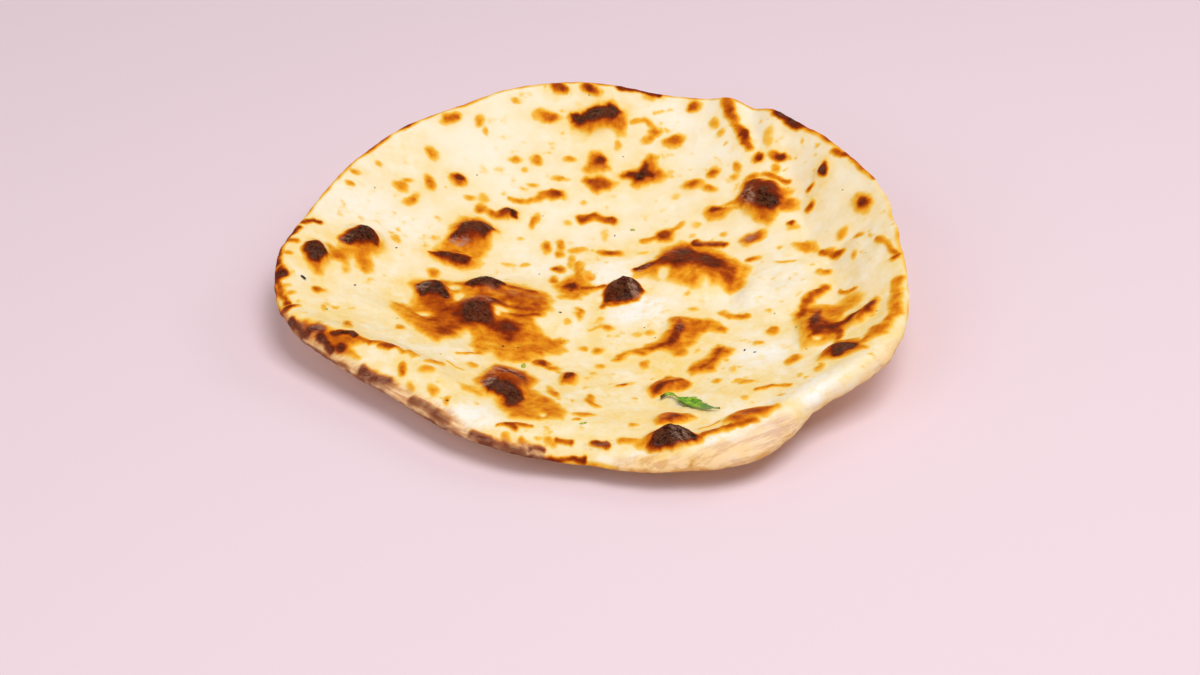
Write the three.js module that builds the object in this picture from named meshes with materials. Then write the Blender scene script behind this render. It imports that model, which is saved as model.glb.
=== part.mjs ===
// A tandoori naan: a hand-stretched round flatbread, blistered and charred on top, that keeps
// the sagging shape of the bowl it cooled in. Its back and right rims stand up, and its front
// rim turns down in a lip. One coriander leaf lies on it.
//
// Millimetres, +Z up, -Y is the front. The origin is the centre of the small flat spot that the
// bread rests on.

import * as THREE from 'three';

// ---- Driving dimensions -------------------------------------------------------------------

const THICKNESS = 3.2;              // bread in the middle
const RIM_THICKNESS = 2.2;          // bread next to the rounded rim
const RIM_ROUNDING = 2.0;           // width of the rounded edge
const MEAN_RADIUS = 121;            // used to turn widths into shares of the radius
const FLAT = 0.26;                  // share of the radius that lies flat on the table
const FADE = 0.16;                  // share of the radius in which folds begin

const TOP_RINGS = 36;               // rings of triangles in the top face, an even number
const BOTTOM_RINGS = TOP_RINGS / 2;
const SECTORS = 6;                  // each ring has this many more points than the one inside it

// Stations round the bread, evenly spaced and counterclockwise from +X.
const RADIUS = [
  125.5, 125, 123, 122, 121.5, 119, 121, 121.5, 121, 121.5, 120.5, 120.5,
  126, 124.5, 112.5, 105.5, 107, 109, 110.5, 120, 127.5, 122, 131, 130,
];
const RIM_HEIGHT = [
  33, 36.5, 37, 36.5, 33.5, 30, 32.5, 32.5, 30, 28.5, 27, 25,
  22, 17, 13, 11.5, 10.5, 10, 9.5, 9.5, 11, 14, 20, 27,
];
const STEEPNESS = [2.6, 2.3, 1.9, 1.8, 1.8, 1.8, 1.8, 1.8, 1.8, 1.8, 1.9, 2.3];
const LIP_DROP = [0, 0, 0, 0, 0, 0, 3, 9, 9, 8, 8, 7];
const LIP_START = [0.9, 0.9, 0.9, 0.9, 0.9, 0.9, 0.92, 0.78, 0.72, 0.8, 0.87, 0.92];

// Hand-stretched dough is never quite even: two slow waves.
const WAVES = [
  { height: 0.55, lengthX: 17, lengthY: 14, phaseX: 1.3, phaseY: 0.4 },
  { height: 0.35, lengthX: 9, lengthY: 11, phaseX: 2.0, phaseY: 1.2 },
];

// Folds bend the whole sheet: ridges are positive, valleys negative.
const FOLDS = [
  // the valley inside the flap that stands up on the right
  { height: -3.0, width: 8, path: [[84, 70], [88, 56], [90, 42], [94, 25], [103, 3], [101, -12]] },
  // creases across that flap
  { height: -2.0, width: 5, path: [[124, 16], [114, 19], [106, 19], [101, 12]] },
  { height: -1.4, width: 5, path: [[126, -26], [113, -22], [103, -19]] },
  // the edge of the pale mound beside it
  { height: 1.6, width: 5, path: [[66, -2], [68, 10], [75, 14], [86, 12]] },
  // gathers in the back right rim
  { height: 2.0, width: 5.5, path: [[59, 104], [61, 95], [65, 85], [68, 77]] },
  { height: -1.6, width: 5, path: [[70, 97], [72, 84], [73, 76]] },
  { height: 1.2, width: 5, path: [[78, 92], [77, 84], [76, 76]] },
  // the crest where the front left lip turns down, and wrinkles inside it
  { height: 2.4, width: 5, path: [[-119, -33], [-95, -43], [-81, -49], [-70, -56], [-58, -67]] },
  { height: 1.0, width: 5, path: [[-88, -16], [-73, -19], [-63, -27], [-54, -40]] },
  // the crest where the front right rim turns down
  { height: 2.0, width: 5, path: [[48, -104], [66, -94], [80, -86], [92, -78], [106, -68]] },
  // the hollow along the front edge
  { height: -1.0, width: 5, path: [[-62, -97], [-38, -104], [-10, -108], [20, -112]] },
];

// Bubbles under the top crust. Roundness 2 is a dome, and near 1 is a peak.
const BLISTERS = [
  { x: 4.5, y: 103.5, long: 12.5, wide: 7, turn: 12, height: 3.6, roundness: 2 },
  { x: 72.5, y: 55.5, long: 10, wide: 10.5, turn: -30, height: 6, roundness: 1.7 },
  { x: -94, y: 24, long: 10, wide: 8, turn: 0, height: 5, roundness: 2 },
  { x: -112, y: 8, long: 6.5, wide: 8, turn: 0, height: 4, roundness: 2 },
  { x: -50, y: 42, long: 12, wide: 8, turn: 8, height: 5, roundness: 1.8 },
  { x: -57, y: 26, long: 10, wide: 4.5, turn: 0, height: 2.4, roundness: 2 },
  { x: -36, y: 55, long: 5.5, wide: 4, turn: 20, height: 2, roundness: 2 },
  { x: -65, y: 3, long: 8, wide: 6.5, turn: 0, height: 4, roundness: 1.8 },
  { x: -43, y: 8.5, long: 10.5, wide: 6, turn: -5, height: 4.5, roundness: 1.8 },
  { x: -44.5, y: -9, long: 11, wide: 10, turn: 0, height: 5, roundness: 1.7 },
  { x: -36, y: -6, long: 36, wide: 26, turn: -10, height: 3, roundness: 2 },
  { x: -34, y: -66, long: 11.5, wide: 12, turn: 0, height: 6, roundness: 1.9 },
  { x: 14, y: 8.5, long: 10.5, wide: 7.5, turn: 35, height: 6.8, roundness: 1.25 },
  { x: 31, y: -104, long: 12.5, wide: 8, turn: 0, height: 6.2, roundness: 1.3 },
  { x: 41, y: 19, long: 25, wide: 17, turn: -15, height: 5, roundness: 2.2 },
  { x: 89, y: -33, long: 8, wide: 14, turn: 0, height: 2.4, roundness: 2 },
  { x: 109, y: -33, long: 9, wide: 4, turn: 45, height: 1.8, roundness: 2 },
  { x: 97, y: -54, long: 7.5, wide: 5.5, turn: 0, height: 2.6, roundness: 2 },
  { x: 35, y: -20, long: 7, wide: 14, turn: -12, height: 2, roundness: 2 },
  { x: 29, y: -60, long: 11, wide: 5.5, turn: 28, height: 2.2, roundness: 2 },
  { x: 31, y: -88, long: 9, wide: 5, turn: 5, height: 2, roundness: 2 },
  { x: 58, y: -92, long: 14, wide: 6.5, turn: 22, height: 2.8, roundness: 2 },
  { x: 23, y: 78, long: 9, wide: 6, turn: 10, height: 1.5, roundness: 2 },
  { x: 4, y: 83, long: 5, wide: 5, turn: 0, height: 1.4, roundness: 2 },
  { x: -8, y: -54, long: 5.5, wide: 6, turn: 0, height: 1.8, roundness: 2 },
  { x: 78, y: -3, long: 22, wide: 17, turn: 10, height: 2.8, roundness: 2 },
  { x: 97.5, y: 57, long: 3, wide: 3.4, turn: 0, height: 1.2, roundness: 2 },
];

// The leaf from its broken stalk to its tip: its midrib in plan, and half its width there.
const LEAF_STATIONS = [
  [27.6, -70.2, 0.4], [29.3, -68.2, 0.5], [30.9, -67.4, 1.1], [32.5, -68.2, 1.1],
  [33.8, -69.6, 0.8], [35.2, -71.0, 2.0], [36.9, -72.5, 3.3], [38.8, -74.0, 3.7],
  [40.6, -75.8, 2.9], [42.4, -77.8, 2.0], [44.3, -79.4, 1.6], [46.2, -80.5, 0.9],
  [48.1, -81.3, 0.5], [50.0, -81.9, 0.25],
];
const LEAF_TEETH = 9;
const LEAF_TOOTH_DEPTH = 0.3;       // share of the half width
const LEAF_THICKNESS = 0.5;
const LEAF_CLEARANCE = 0.6;         // above the bread, so that it clears the faces between points
const LEAF_WAVE = 0.5;
const LEAF_STEPS = 52;
const LEAF_COLUMNS = 4;

// ---- The sheet of bread -------------------------------------------------------------------

// The value of evenly spaced stations at a direction, on a smooth closed curve.
function around(stations, angle) {
  const count = stations.length;
  const place = ((angle / (2 * Math.PI) + 2) % 1) * count;
  const first = Math.floor(place);
  const share = place - first;
  const [before, start, end, after] = [-1, 0, 1, 2].map((step) => (
    stations[(first + step + count) % count]
  ));
  const slope = 0.5 * (end - before);
  const bend = before - 2.5 * start + 2 * end - 0.5 * after;
  const twist = 0.5 * (after - before) + 1.5 * (start - end);
  return start + share * (slope + share * (bend + share * twist));
}

function distanceToPath(x, y, path) {
  let nearest = Infinity;
  for (let i = 1; i < path.length; i += 1) {
    const [startX, startY] = path[i - 1];
    const runX = path[i][0] - startX;
    const runY = path[i][1] - startY;
    const along = ((x - startX) * runX + (y - startY) * runY) / (runX ** 2 + runY ** 2);
    const share = THREE.MathUtils.clamp(along, 0, 1);
    nearest = Math.min(nearest, Math.hypot(x - startX - share * runX, y - startY - share * runY));
  }
  return nearest;
}

function foldHeight(x, y) {
  let height = 0;
  for (const wave of WAVES) {
    const across = Math.sin(x / wave.lengthX + wave.phaseX);
    height += wave.height * across * Math.sin(y / wave.lengthY + wave.phaseY);
  }
  for (const fold of FOLDS) {
    height += fold.height * Math.exp(-((distanceToPath(x, y, fold.path) / fold.width) ** 2));
  }
  return height;
}

function radiusShare(x, y) {
  return Math.hypot(x, y) / around(RADIUS, Math.atan2(y, x));
}

// How high the underside lies. The flat spot is exactly at zero.
function undersideHeight(x, y) {
  const angle = Math.atan2(y, x);
  const share = radiusShare(x, y);
  const rise = Math.max(0, (share - FLAT) / (1 - FLAT));
  const lipStart = around(LIP_START, angle);
  const roll = Math.max(0, (share - lipStart) / (1 - lipStart));
  const lip = around(LIP_DROP, angle);
  const dish = (around(RIM_HEIGHT, angle) + lip) * rise ** around(STEEPNESS, angle);
  const folds = THREE.MathUtils.smoothstep(share, FLAT, FLAT + FADE) * foldHeight(x, y);
  return dish - lip * (0.55 * roll ** 2 + 0.45 * roll ** 7) + folds;
}

function undersideNormal(x, y) {
  const step = 0.05;
  const slopeX = (undersideHeight(x + step, y) - undersideHeight(x - step, y)) / (2 * step);
  const slopeY = (undersideHeight(x, y + step) - undersideHeight(x, y - step)) / (2 * step);
  return new THREE.Vector3(-slopeX, -slopeY, 1).normalize();
}

function blisterHeight(x, y) {
  let height = 0;
  for (const blister of BLISTERS) {
    const turn = THREE.MathUtils.degToRad(blister.turn);
    const offsetX = x - blister.x;
    const offsetY = y - blister.y;
    const along = (offsetX * Math.cos(turn) + offsetY * Math.sin(turn)) / blister.long;
    const across = (offsetY * Math.cos(turn) - offsetX * Math.sin(turn)) / blister.wide;
    const share = Math.min(1, Math.hypot(along, across));
    height += blister.height * (1 - share ** blister.roundness) ** 1.5;
  }
  return height;
}

// How far the lower and upper faces lie from the underside, along its normal. Both meet in the
// middle of the thickness at the rim.
function faceOffsets(x, y) {
  const share = radiusShare(x, y);
  const thinning = THREE.MathUtils.smoothstep(share, 0.75, 1);
  const thickness = THREE.MathUtils.lerp(THICKNESS, RIM_THICKNESS, thinning);
  const edge = Math.min(1, Math.max(0, (1 - share) * MEAN_RADIUS / RIM_ROUNDING));
  const openness = Math.sqrt(1 - (1 - edge) ** 2);
  return {
    lower: (thickness / 2) * (1 - openness),
    upper: (thickness / 2) * (1 + openness) + blisterHeight(x, y) * openness,
  };
}

function facePoint(x, y, side) {
  const point = new THREE.Vector3(x, y, undersideHeight(x, y));
  return point.addScaledVector(undersideNormal(x, y), faceOffsets(x, y)[side]);
}

// ---- The naan -----------------------------------------------------------------------------

// Adds the points of one face, ring by ring from the centre out, and returns their numbers.
// Ring n has n * SECTORS points, so that they lie evenly all over the bread.
function addRings(points, shares, side) {
  return shares.map((share, ring) => {
    const count = Math.max(1, ring * SECTORS);
    return Array.from({ length: count }, (_, i) => {
      const angle = 2 * Math.PI * i / count;
      const reach = share * around(RADIUS, angle);
      points.push(facePoint(reach * Math.cos(angle), reach * Math.sin(angle), side));
      return points.length - 1;
    });
  });
}

// Triangles between the rings of one face, counterclockwise seen from above.
function trianglesOfRings(rings) {
  const triangles = [];
  const at = (ring, i) => rings[ring][i % rings[ring].length];
  for (let ring = 1; ring < rings.length; ring += 1) {
    for (let sector = 0; sector < SECTORS; sector += 1) {
      for (let step = 0; step < ring; step += 1) {
        const outer = sector * ring + step;
        const inner = sector * (ring - 1) + step;
        triangles.push([at(ring, outer), at(ring, outer + 1), at(ring - 1, inner)]);
        if (step < ring - 1) {
          triangles.push([at(ring, outer + 1), at(ring - 1, inner + 1), at(ring - 1, inner)]);
        }
      }
    }
  }
  return triangles;
}

// The band between the rim and the lower face, whose outer ring has half as many points.
function trianglesOfBand(rim, lower) {
  return lower.flatMap((corner, i) => {
    const next = lower[(i + 1) % lower.length];
    const [start, middle, end] = [0, 1, 2].map((step) => rim[(2 * i + step) % rim.length]);
    return [[corner, middle, start], [corner, next, middle], [next, end, middle]];
  });
}

function closedGeometry(points, triangles) {
  const geometry = new THREE.BufferGeometry().setFromPoints(points);
  geometry.setIndex(triangles.flat());
  geometry.computeVertexNormals();
  return geometry;
}

function makeNaan() {
  const points = [];
  const inset = 1 - 0.8 * RIM_ROUNDING / MEAN_RADIUS;
  const upperShares = Array.from({ length: TOP_RINGS }, (_, i) => inset * i / (TOP_RINGS - 1));
  const lowerShares = Array.from({ length: BOTTOM_RINGS + 1 }, (_, i) => inset * i / BOTTOM_RINGS);
  const upper = addRings(points, [...upperShares, 1], 'upper');
  const lower = addRings(points, lowerShares, 'lower');
  const triangles = [
    ...trianglesOfRings(upper),
    ...trianglesOfRings(lower).map(([a, b, c]) => [a, c, b]),
    ...trianglesOfBand(upper[TOP_RINGS], lower[BOTTOM_RINGS]),
  ];
  const material = new THREE.MeshStandardMaterial({ color: 0xf2dcb0, roughness: 0.6, metalness: 0 });
  const mesh = new THREE.Mesh(closedGeometry(points, triangles), material);
  mesh.name = 'naan';
  return mesh;
}

// ---- The coriander leaf -------------------------------------------------------------------

const LEAF_MIDRIB = new THREE.CatmullRomCurve3(
  LEAF_STATIONS.map((station) => new THREE.Vector3(...station)), false, 'catmullrom',
);

// A point of the leaf: share runs along the midrib, and across runs from -1 to 1. The teeth
// along both edges point to the tip.
function leafPoint(share, across, height) {
  const midrib = LEAF_MIDRIB.getPoint(share);
  const run = LEAF_MIDRIB.getTangent(share);
  const sideways = new THREE.Vector2(-run.y, run.x).normalize();
  const tooth = LEAF_TOOTH_DEPTH * (1 - (share * LEAF_TEETH) % 1);
  const place = new THREE.Vector2(midrib.x, midrib.y);
  place.addScaledVector(sideways, across * midrib.z * (1 - tooth));
  const wave = LEAF_WAVE * (1 + Math.sin(9 * share + 1.5 * across));
  const fold = 0.5 * across ** 2;
  const bread = facePoint(place.x, place.y, 'upper').z;
  return new THREE.Vector3(place.x, place.y, bread + LEAF_CLEARANCE + wave + fold + height);
}

function makeLeaf() {
  const points = [];
  const number = (side, step, column) => (
    (side * (LEAF_STEPS + 1) + step) * (LEAF_COLUMNS + 1) + column
  );
  for (const height of [0, LEAF_THICKNESS]) {
    for (let step = 0; step <= LEAF_STEPS; step += 1) {
      for (let column = 0; column <= LEAF_COLUMNS; column += 1) {
        points.push(leafPoint(step / LEAF_STEPS, 2 * column / LEAF_COLUMNS - 1, height));
      }
    }
  }
  const triangles = [];
  const quad = (a, b, c, d) => triangles.push([a, b, c], [a, c, d]);
  for (let step = 0; step < LEAF_STEPS; step += 1) {
    for (let column = 0; column < LEAF_COLUMNS; column += 1) {
      const corners = [
        [step, column], [step + 1, column], [step + 1, column + 1], [step, column + 1],
      ];
      const lower = corners.map((corner) => number(0, ...corner));
      quad(...corners.map((corner) => number(1, ...corner)));
      triangles.push([lower[0], lower[2], lower[1]], [lower[0], lower[3], lower[2]]);
    }
  }
  const wall = (from, to) => {
    quad(number(0, ...from), number(0, ...to), number(1, ...to), number(1, ...from));
  };
  for (let step = 0; step < LEAF_STEPS; step += 1) {
    wall([step, 0], [step + 1, 0]);
    wall([step + 1, LEAF_COLUMNS], [step, LEAF_COLUMNS]);
  }
  for (let column = 0; column < LEAF_COLUMNS; column += 1) {
    wall([0, column + 1], [0, column]);
    wall([LEAF_STEPS, column], [LEAF_STEPS, column + 1]);
  }
  const material = new THREE.MeshStandardMaterial({ color: 0x4f8f2b, roughness: 0.5, metalness: 0 });
  const mesh = new THREE.Mesh(closedGeometry(points, triangles), material);
  mesh.name = 'coriander_leaf';
  return mesh;
}

const group = new THREE.Group();
group.add(makeNaan(), makeLeaf());

export default group;
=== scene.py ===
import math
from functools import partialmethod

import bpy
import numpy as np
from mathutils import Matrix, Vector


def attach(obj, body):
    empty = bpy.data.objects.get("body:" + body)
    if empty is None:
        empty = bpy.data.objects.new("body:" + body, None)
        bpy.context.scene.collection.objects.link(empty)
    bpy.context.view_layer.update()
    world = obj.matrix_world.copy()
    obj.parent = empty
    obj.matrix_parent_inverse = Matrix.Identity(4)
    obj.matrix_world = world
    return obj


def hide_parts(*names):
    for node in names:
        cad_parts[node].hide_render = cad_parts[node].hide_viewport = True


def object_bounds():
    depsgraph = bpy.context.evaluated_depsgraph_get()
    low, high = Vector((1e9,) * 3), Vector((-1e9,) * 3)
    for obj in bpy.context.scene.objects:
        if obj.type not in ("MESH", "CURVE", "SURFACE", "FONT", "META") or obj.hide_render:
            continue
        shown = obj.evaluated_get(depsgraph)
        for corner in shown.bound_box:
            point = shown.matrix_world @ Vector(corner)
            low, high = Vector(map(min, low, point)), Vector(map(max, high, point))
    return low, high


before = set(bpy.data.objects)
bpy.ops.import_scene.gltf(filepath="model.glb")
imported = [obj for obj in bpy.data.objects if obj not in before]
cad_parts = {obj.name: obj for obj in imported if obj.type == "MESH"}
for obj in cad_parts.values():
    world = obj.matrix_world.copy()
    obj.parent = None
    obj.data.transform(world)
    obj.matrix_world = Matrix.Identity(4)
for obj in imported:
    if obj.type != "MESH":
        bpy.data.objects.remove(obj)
cad_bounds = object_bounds()

# The looks of a charred tandoori naan, dressed over its CAD frame.
#
# The bread's form is worked out from the same stations, folds and blisters as the CAD solid, in
# millimetres, on a finer mesh. Scorch marks, ash, butter and flour are painted on that mesh as
# attributes from listed marks, and the material turns them into colour and gloss.
# Some of the ash and flour patches are painted highlights, and the tan where the rim turns down, with two
# thin lines at its edge, is partly painted shade.

MM = 0.001

# ---- The bread's form, in millimetres, as in the CAD --------------------------------------------

THICKNESS = 3.2
RIM_THICKNESS = 2.2
RIM_ROUNDING = 2.0
MEAN_RADIUS = 121
FLAT = 0.26
FADE = 0.16
# Stations round the bread, evenly spaced and counterclockwise from +X.
RADIUS = [125.5, 125, 123, 122, 121.5, 119, 121, 121.5, 121, 121.5, 120.5, 120.5,
          126, 124.5, 112.5, 105.5, 107, 109, 110.5, 120, 127.5, 122, 131, 130]
RIM_HEIGHT = [33, 36.5, 37, 36.5, 33.5, 30, 32.5, 32.5, 30, 28.5, 27, 25,
              22, 17, 13, 11.5, 10.5, 10, 9.5, 9.5, 11, 14, 20, 27]
STEEPNESS = [2.6, 2.3, 1.9, 1.8, 1.8, 1.8, 1.8, 1.8, 1.8, 1.8, 1.9, 2.3]
LIP_DROP = [0, 0, 0, 0, 0, 0, 3, 9, 9, 8, 8, 7]
LIP_START = [0.9, 0.9, 0.9, 0.9, 0.9, 0.9, 0.92, 0.78, 0.72, 0.8, 0.87, 0.92]
# Height, length along x, length along y, and the two phases.
WAVES = [(0.55, 17, 14, 1.3, 0.4), (0.35, 9, 11, 2.0, 1.2)]
# Height, width and path of each fold.
FOLDS = [
    (-3.0, 8, (84, 70), (88, 56), (90, 42), (94, 25), (103, 3), (101, -12)),
    (-2.0, 5, (124, 16), (114, 19), (106, 19), (101, 12)),
    (-1.4, 5, (126, -26), (113, -22), (103, -19)),
    (1.6, 5, (66, -2), (68, 10), (75, 14), (86, 12)),
    (2.0, 5.5, (59, 104), (61, 95), (65, 85), (68, 77)),
    (-1.6, 5, (70, 97), (72, 84), (73, 76)),
    (1.2, 5, (78, 92), (77, 84), (76, 76)),
    (2.4, 5, (-119, -33), (-95, -43), (-81, -49), (-70, -56), (-58, -67)),
    (1.0, 5, (-88, -16), (-73, -19), (-63, -27), (-54, -40)),
    (2.0, 5, (48, -104), (66, -94), (80, -86), (92, -78), (106, -68)),
    (-1.0, 5, (-62, -97), (-38, -104), (-10, -108), (20, -112)),
]
# Centre, half length, half width, turn in degrees, height and roundness of each blister.
BLISTERS = [
    (4.5, 103.5, 12.5, 7, 12, 3.6, 2), (72.5, 55.5, 10, 10.5, -30, 6, 1.7),
    (-94, 24, 10, 8, 0, 5, 2), (-112, 8, 6.5, 8, 0, 4, 2),
    (-50, 42, 12, 8, 8, 5, 1.8), (-57, 26, 10, 4.5, 0, 2.4, 2),
    (-36, 55, 5.5, 4, 20, 2, 2), (-65, 3, 8, 6.5, 0, 4, 1.8),
    (-43, 8.5, 10.5, 6, -5, 4.5, 1.8), (-44.5, -9, 11, 10, 0, 5, 1.7),
    (-36, -6, 36, 26, -10, 3, 2), (-34, -66, 11.5, 12, 0, 6, 1.9),
    (14, 8.5, 10.5, 7.5, 35, 6.8, 1.25), (31, -104, 12.5, 8, 0, 6.2, 1.3),
    (41, 19, 25, 17, -15, 5, 2.2), (89, -33, 8, 14, 0, 2.4, 2),
    (109, -33, 9, 4, 45, 1.8, 2), (97, -54, 7.5, 5.5, 0, 2.6, 2),
    (35, -20, 7, 14, -12, 2, 2), (29, -60, 11, 5.5, 28, 2.2, 2),
    (31, -88, 9, 5, 5, 2, 2), (58, -92, 14, 6.5, 22, 2.8, 2),
    (23, 78, 9, 6, 10, 1.5, 2), (4, 83, 5, 5, 0, 1.4, 2),
    (-8, -54, 5.5, 6, 0, 1.8, 2), (78, -3, 22, 17, 10, 2.8, 2),
    (97.5, 57, 3, 3.4, 0, 1.2, 2),
]

# ---- The fine surface, in millimetres where nothing else is said --------------------------------

TOP_RINGS = 152                 # rings of triangles in the top face, an even number
SECTORS = 6                     # each ring has this many more points than the one inside it
ROUNDING_RINGS = 6              # of them, the rings on the rounded rim
RAGGED_RIM = 0.9                # how far the torn edge draws in
# Width and height of each layer of hills in the dough and in the char.
DOUGH_RELIEF = [(16, 0.45), (8, 0.26), (3.6, 0.09)]
CHAR_RELIEF = [(3.4, 0.60), (1.9, 0.40)]
RELIEF_FADE = 7.0               # how far from the rim the relief is whole
BUBBLE_LIFT = 0.55              # how far a browned bubble stands up
BURST_LIP = 0.22                # width of a burst bubble's lip, as a share of the bubble
WARP = [(6, 0.8), (2.6, 0.35)]  # width and reach of the bends in painted outlines
RAGGED = [(3.6, 0.5), (1.6, 0.3)]    # width and depth of the raggedness of scorched edges
CHARRED = (0.82, 1.0)           # the heat at which crust turns to char
HALO_REACH = 6.5                # how far the yellow halo of a large mark reaches
UNION = 6                       # marks that overlap add up by this power, so the hottest counts
PALE_SHARE = 0.95               # how much of the heat is missing where pale dough shows through
PALE_SOFTNESS = 1.3
RIM_SOFTNESS = 1.2
PATCH_SOFTNESS = 0.8            # of butter, flour and the painted crest highlight, as a share of the patch
ASH_AND_SHEEN_SOFTNESS = 0.45

# ---- Marks, in millimetres ----------------------------------------------------------------------

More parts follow.
